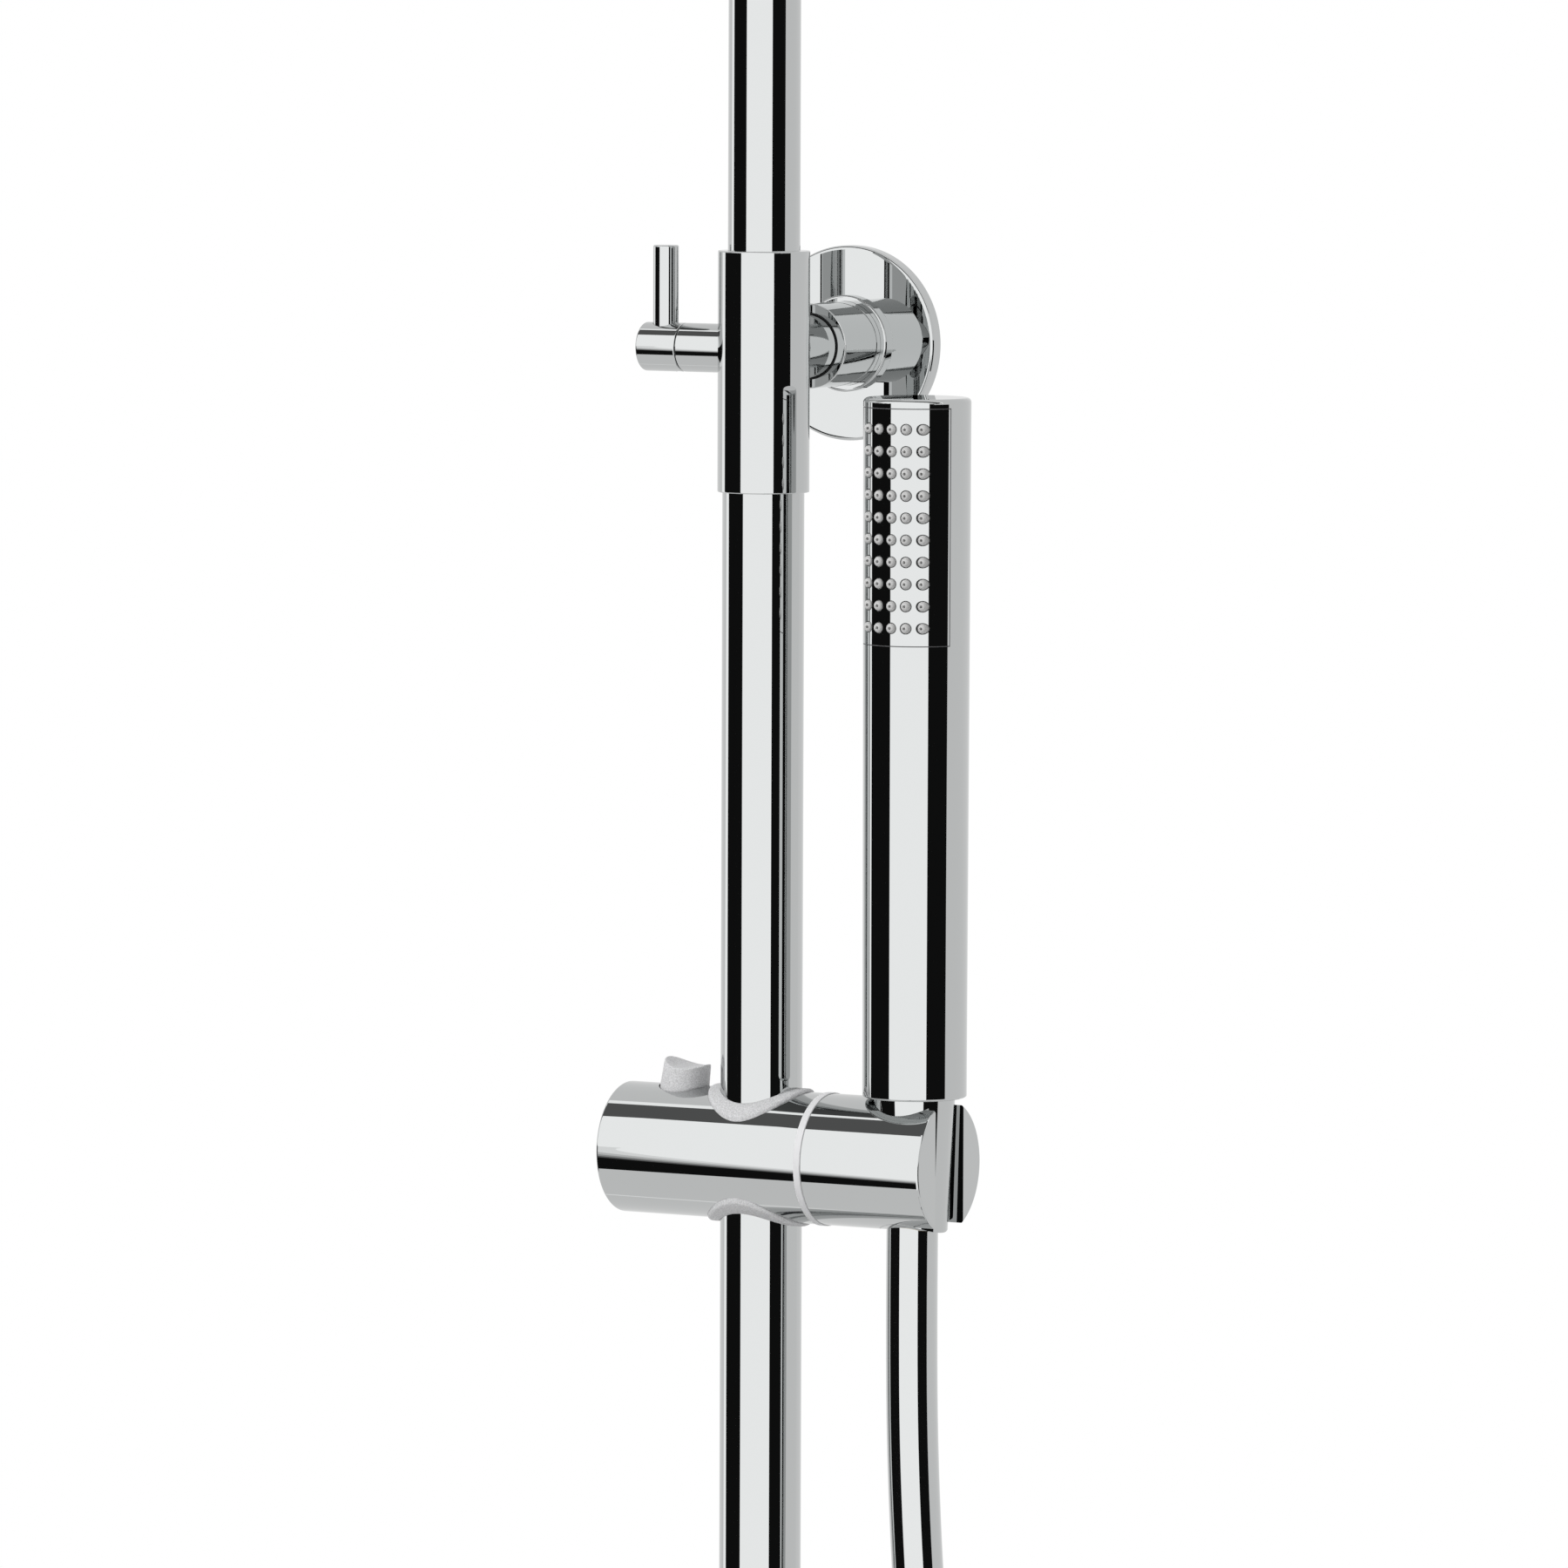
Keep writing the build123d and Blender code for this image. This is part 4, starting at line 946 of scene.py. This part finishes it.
def lamp():
    """Soft lamp from the upper left, which the chrome doesn't show."""
    _, _, stage = settings()
    light = bpy.data.lights.new("soft_lamp", "AREA")
    light.energy = stage.key_power
    light.size = 2.0
    holder = bpy.data.objects.new("soft_lamp", light)
    bpy.context.scene.collection.objects.link(holder)
    holder.location = (-1.6, -2.6, 2.2)
    aim = Vector(stage.target) - holder.location
    holder.rotation_euler = aim.to_track_quat("-Z", "Y").to_euler()
    holder.visible_camera = False
    holder.visible_glossy = False


def floor():
    """Pale floor under the lowest piece, which fades outwards and is clear from below."""
    _, _, stage = settings()
    mesh = bpy.data.meshes.new("floor")
    form = bmesh.new()
    bmesh.ops.create_circle(form, cap_ends=True, segments=96, radius=stage.floor_radius)
    centre = (0.0, RAIL_AXIS.y, CAD_BOX[0][2] - stage.floor_drop)
    bmesh.ops.translate(form, vec=centre, verts=form.verts)
    form.to_mesh(mesh)
    form.free()
    material, tree, shader, place = new_material("pale_floor")
    shader.inputs["Base Color"].default_value = opaque(stage.floor_colour)
    skin = grain(tree, place, 30.0, 0.6, 0.75)
    tree.links.new(skin.outputs["Value"], shader.inputs["Roughness"])
    side = add_node(tree, "ShaderNodeNewGeometry")
    clear = add_node(tree, "ShaderNodeBsdfTransparent")
    cover = add_node(tree, "ShaderNodeMixShader")
    output = tree.get_output_node("ALL")
    full, gone = 0.3 * stage.floor_radius, 0.97 * stage.floor_radius
    away = add_node(tree, "ShaderNodeVectorMath", {1: centre}, operation="DISTANCE")
    fade = add_node(
        tree, "ShaderNodeMapRange", {"From Min": full, "From Max": gone}, interpolation_type="SMOOTHSTEP"
    )
    most = add_node(tree, "ShaderNodeMath", operation="MAXIMUM")
    link = tree.links.new
    link(place, away.inputs[0])
    link(away.outputs["Value"], fade.inputs["Value"])
    link(fade.outputs["Result"], most.inputs[0])
    link(side.outputs["Backfacing"], most.inputs[1])
    link(most.outputs["Value"], cover.inputs["Fac"])
    link(shader.outputs["BSDF"], cover.inputs[1])
    link(clear.outputs["BSDF"], cover.inputs[2])
    link(cover.outputs["Shader"], output.inputs["Surface"])
    ground = new_piece("floor", mesh, material)
    ground.visible_glossy = False


def camera():
    """Camera at the picture's place."""
    _, _, stage = settings()
    lens = bpy.data.cameras.new("camera")
    lens.lens = stage.lens
    lens.sensor_width = 36.0
    lens.clip_end = 100.0
    eye = bpy.data.objects.new("camera", lens)
    bpy.context.scene.collection.objects.link(eye)
    back = Vector((
        math.sin(stage.azimuth) * math.cos(stage.elevation),
        -math.cos(stage.azimuth) * math.cos(stage.elevation),
        math.sin(stage.elevation),
    ))
    turn = (-back).to_track_quat("-Z", "Y").to_matrix().to_4x4()
    spin = Matrix.Rotation(stage.roll, 4, "Z")
    eye.matrix_world = Matrix.Translation(Vector(stage.target) + stage.distance * back) @ turn @ spin
    bpy.context.scene.camera = eye


class SHOWER_OT_stage(bpy.types.Operator):
    """Sets up the floor, the light, the cards and the camera"""

    bl_idname = "shower.stage"
    bl_label = "Stage"

    def execute(self, context):
        context.scene.view_settings.view_transform = "Standard"
        floor()
        world()
        room()
        cards()
        lamp()
        camera()
        return {"FINISHED"}


class SHOWER_PT_panel(bpy.types.Panel):
    """Lists the steps and the values"""

    bl_idname = "SHOWER_PT_panel"
    bl_label = "Shower rail"
    bl_space_type = "VIEW_3D"
    bl_region_type = "UI"
    bl_category = "Shower"

    def draw(self, context):
        for step in STEPS:
            self.layout.operator(step.bl_idname)
        for group in settings():
            box = self.layout.box()
            for name in group.__annotations__:
                box.prop(group, name)


GROUPS = {"shower_sizes": ShowerSizes, "shower_finishes": ShowerFinishes, "shower_stage": ShowerStage}
STEPS = (
    SHOWER_OT_finishes,
    SHOWER_OT_hose,
    SHOWER_OT_nozzles,
    SHOWER_OT_threads,
    SHOWER_OT_spring,
    SHOWER_OT_stage,
)


def register():
    """Registers the classes and the values."""
    for name, group in GROUPS.items():
        bpy.utils.register_class(group)
        setattr(bpy.types.Scene, name, PointerProperty(type=group))
    for part in (*STEPS, SHOWER_PT_panel):
        bpy.utils.register_class(part)


def unregister():
    """Takes the classes and the values away."""
    for part in (SHOWER_PT_panel, *reversed(STEPS)):
        bpy.utils.unregister_class(part)
    for name, group in GROUPS.items():
        delattr(bpy.types.Scene, name)
        bpy.utils.unregister_class(group)


def main():
    """Makes the pieces in order."""
    register()
    bpy.ops.shower.finishes()
    bpy.ops.shower.hose()
    bpy.ops.shower.nozzles()
    bpy.ops.shower.threads()
    bpy.ops.shower.spring()
    bpy.ops.shower.stage()


if __name__ == "__main__":
    main()
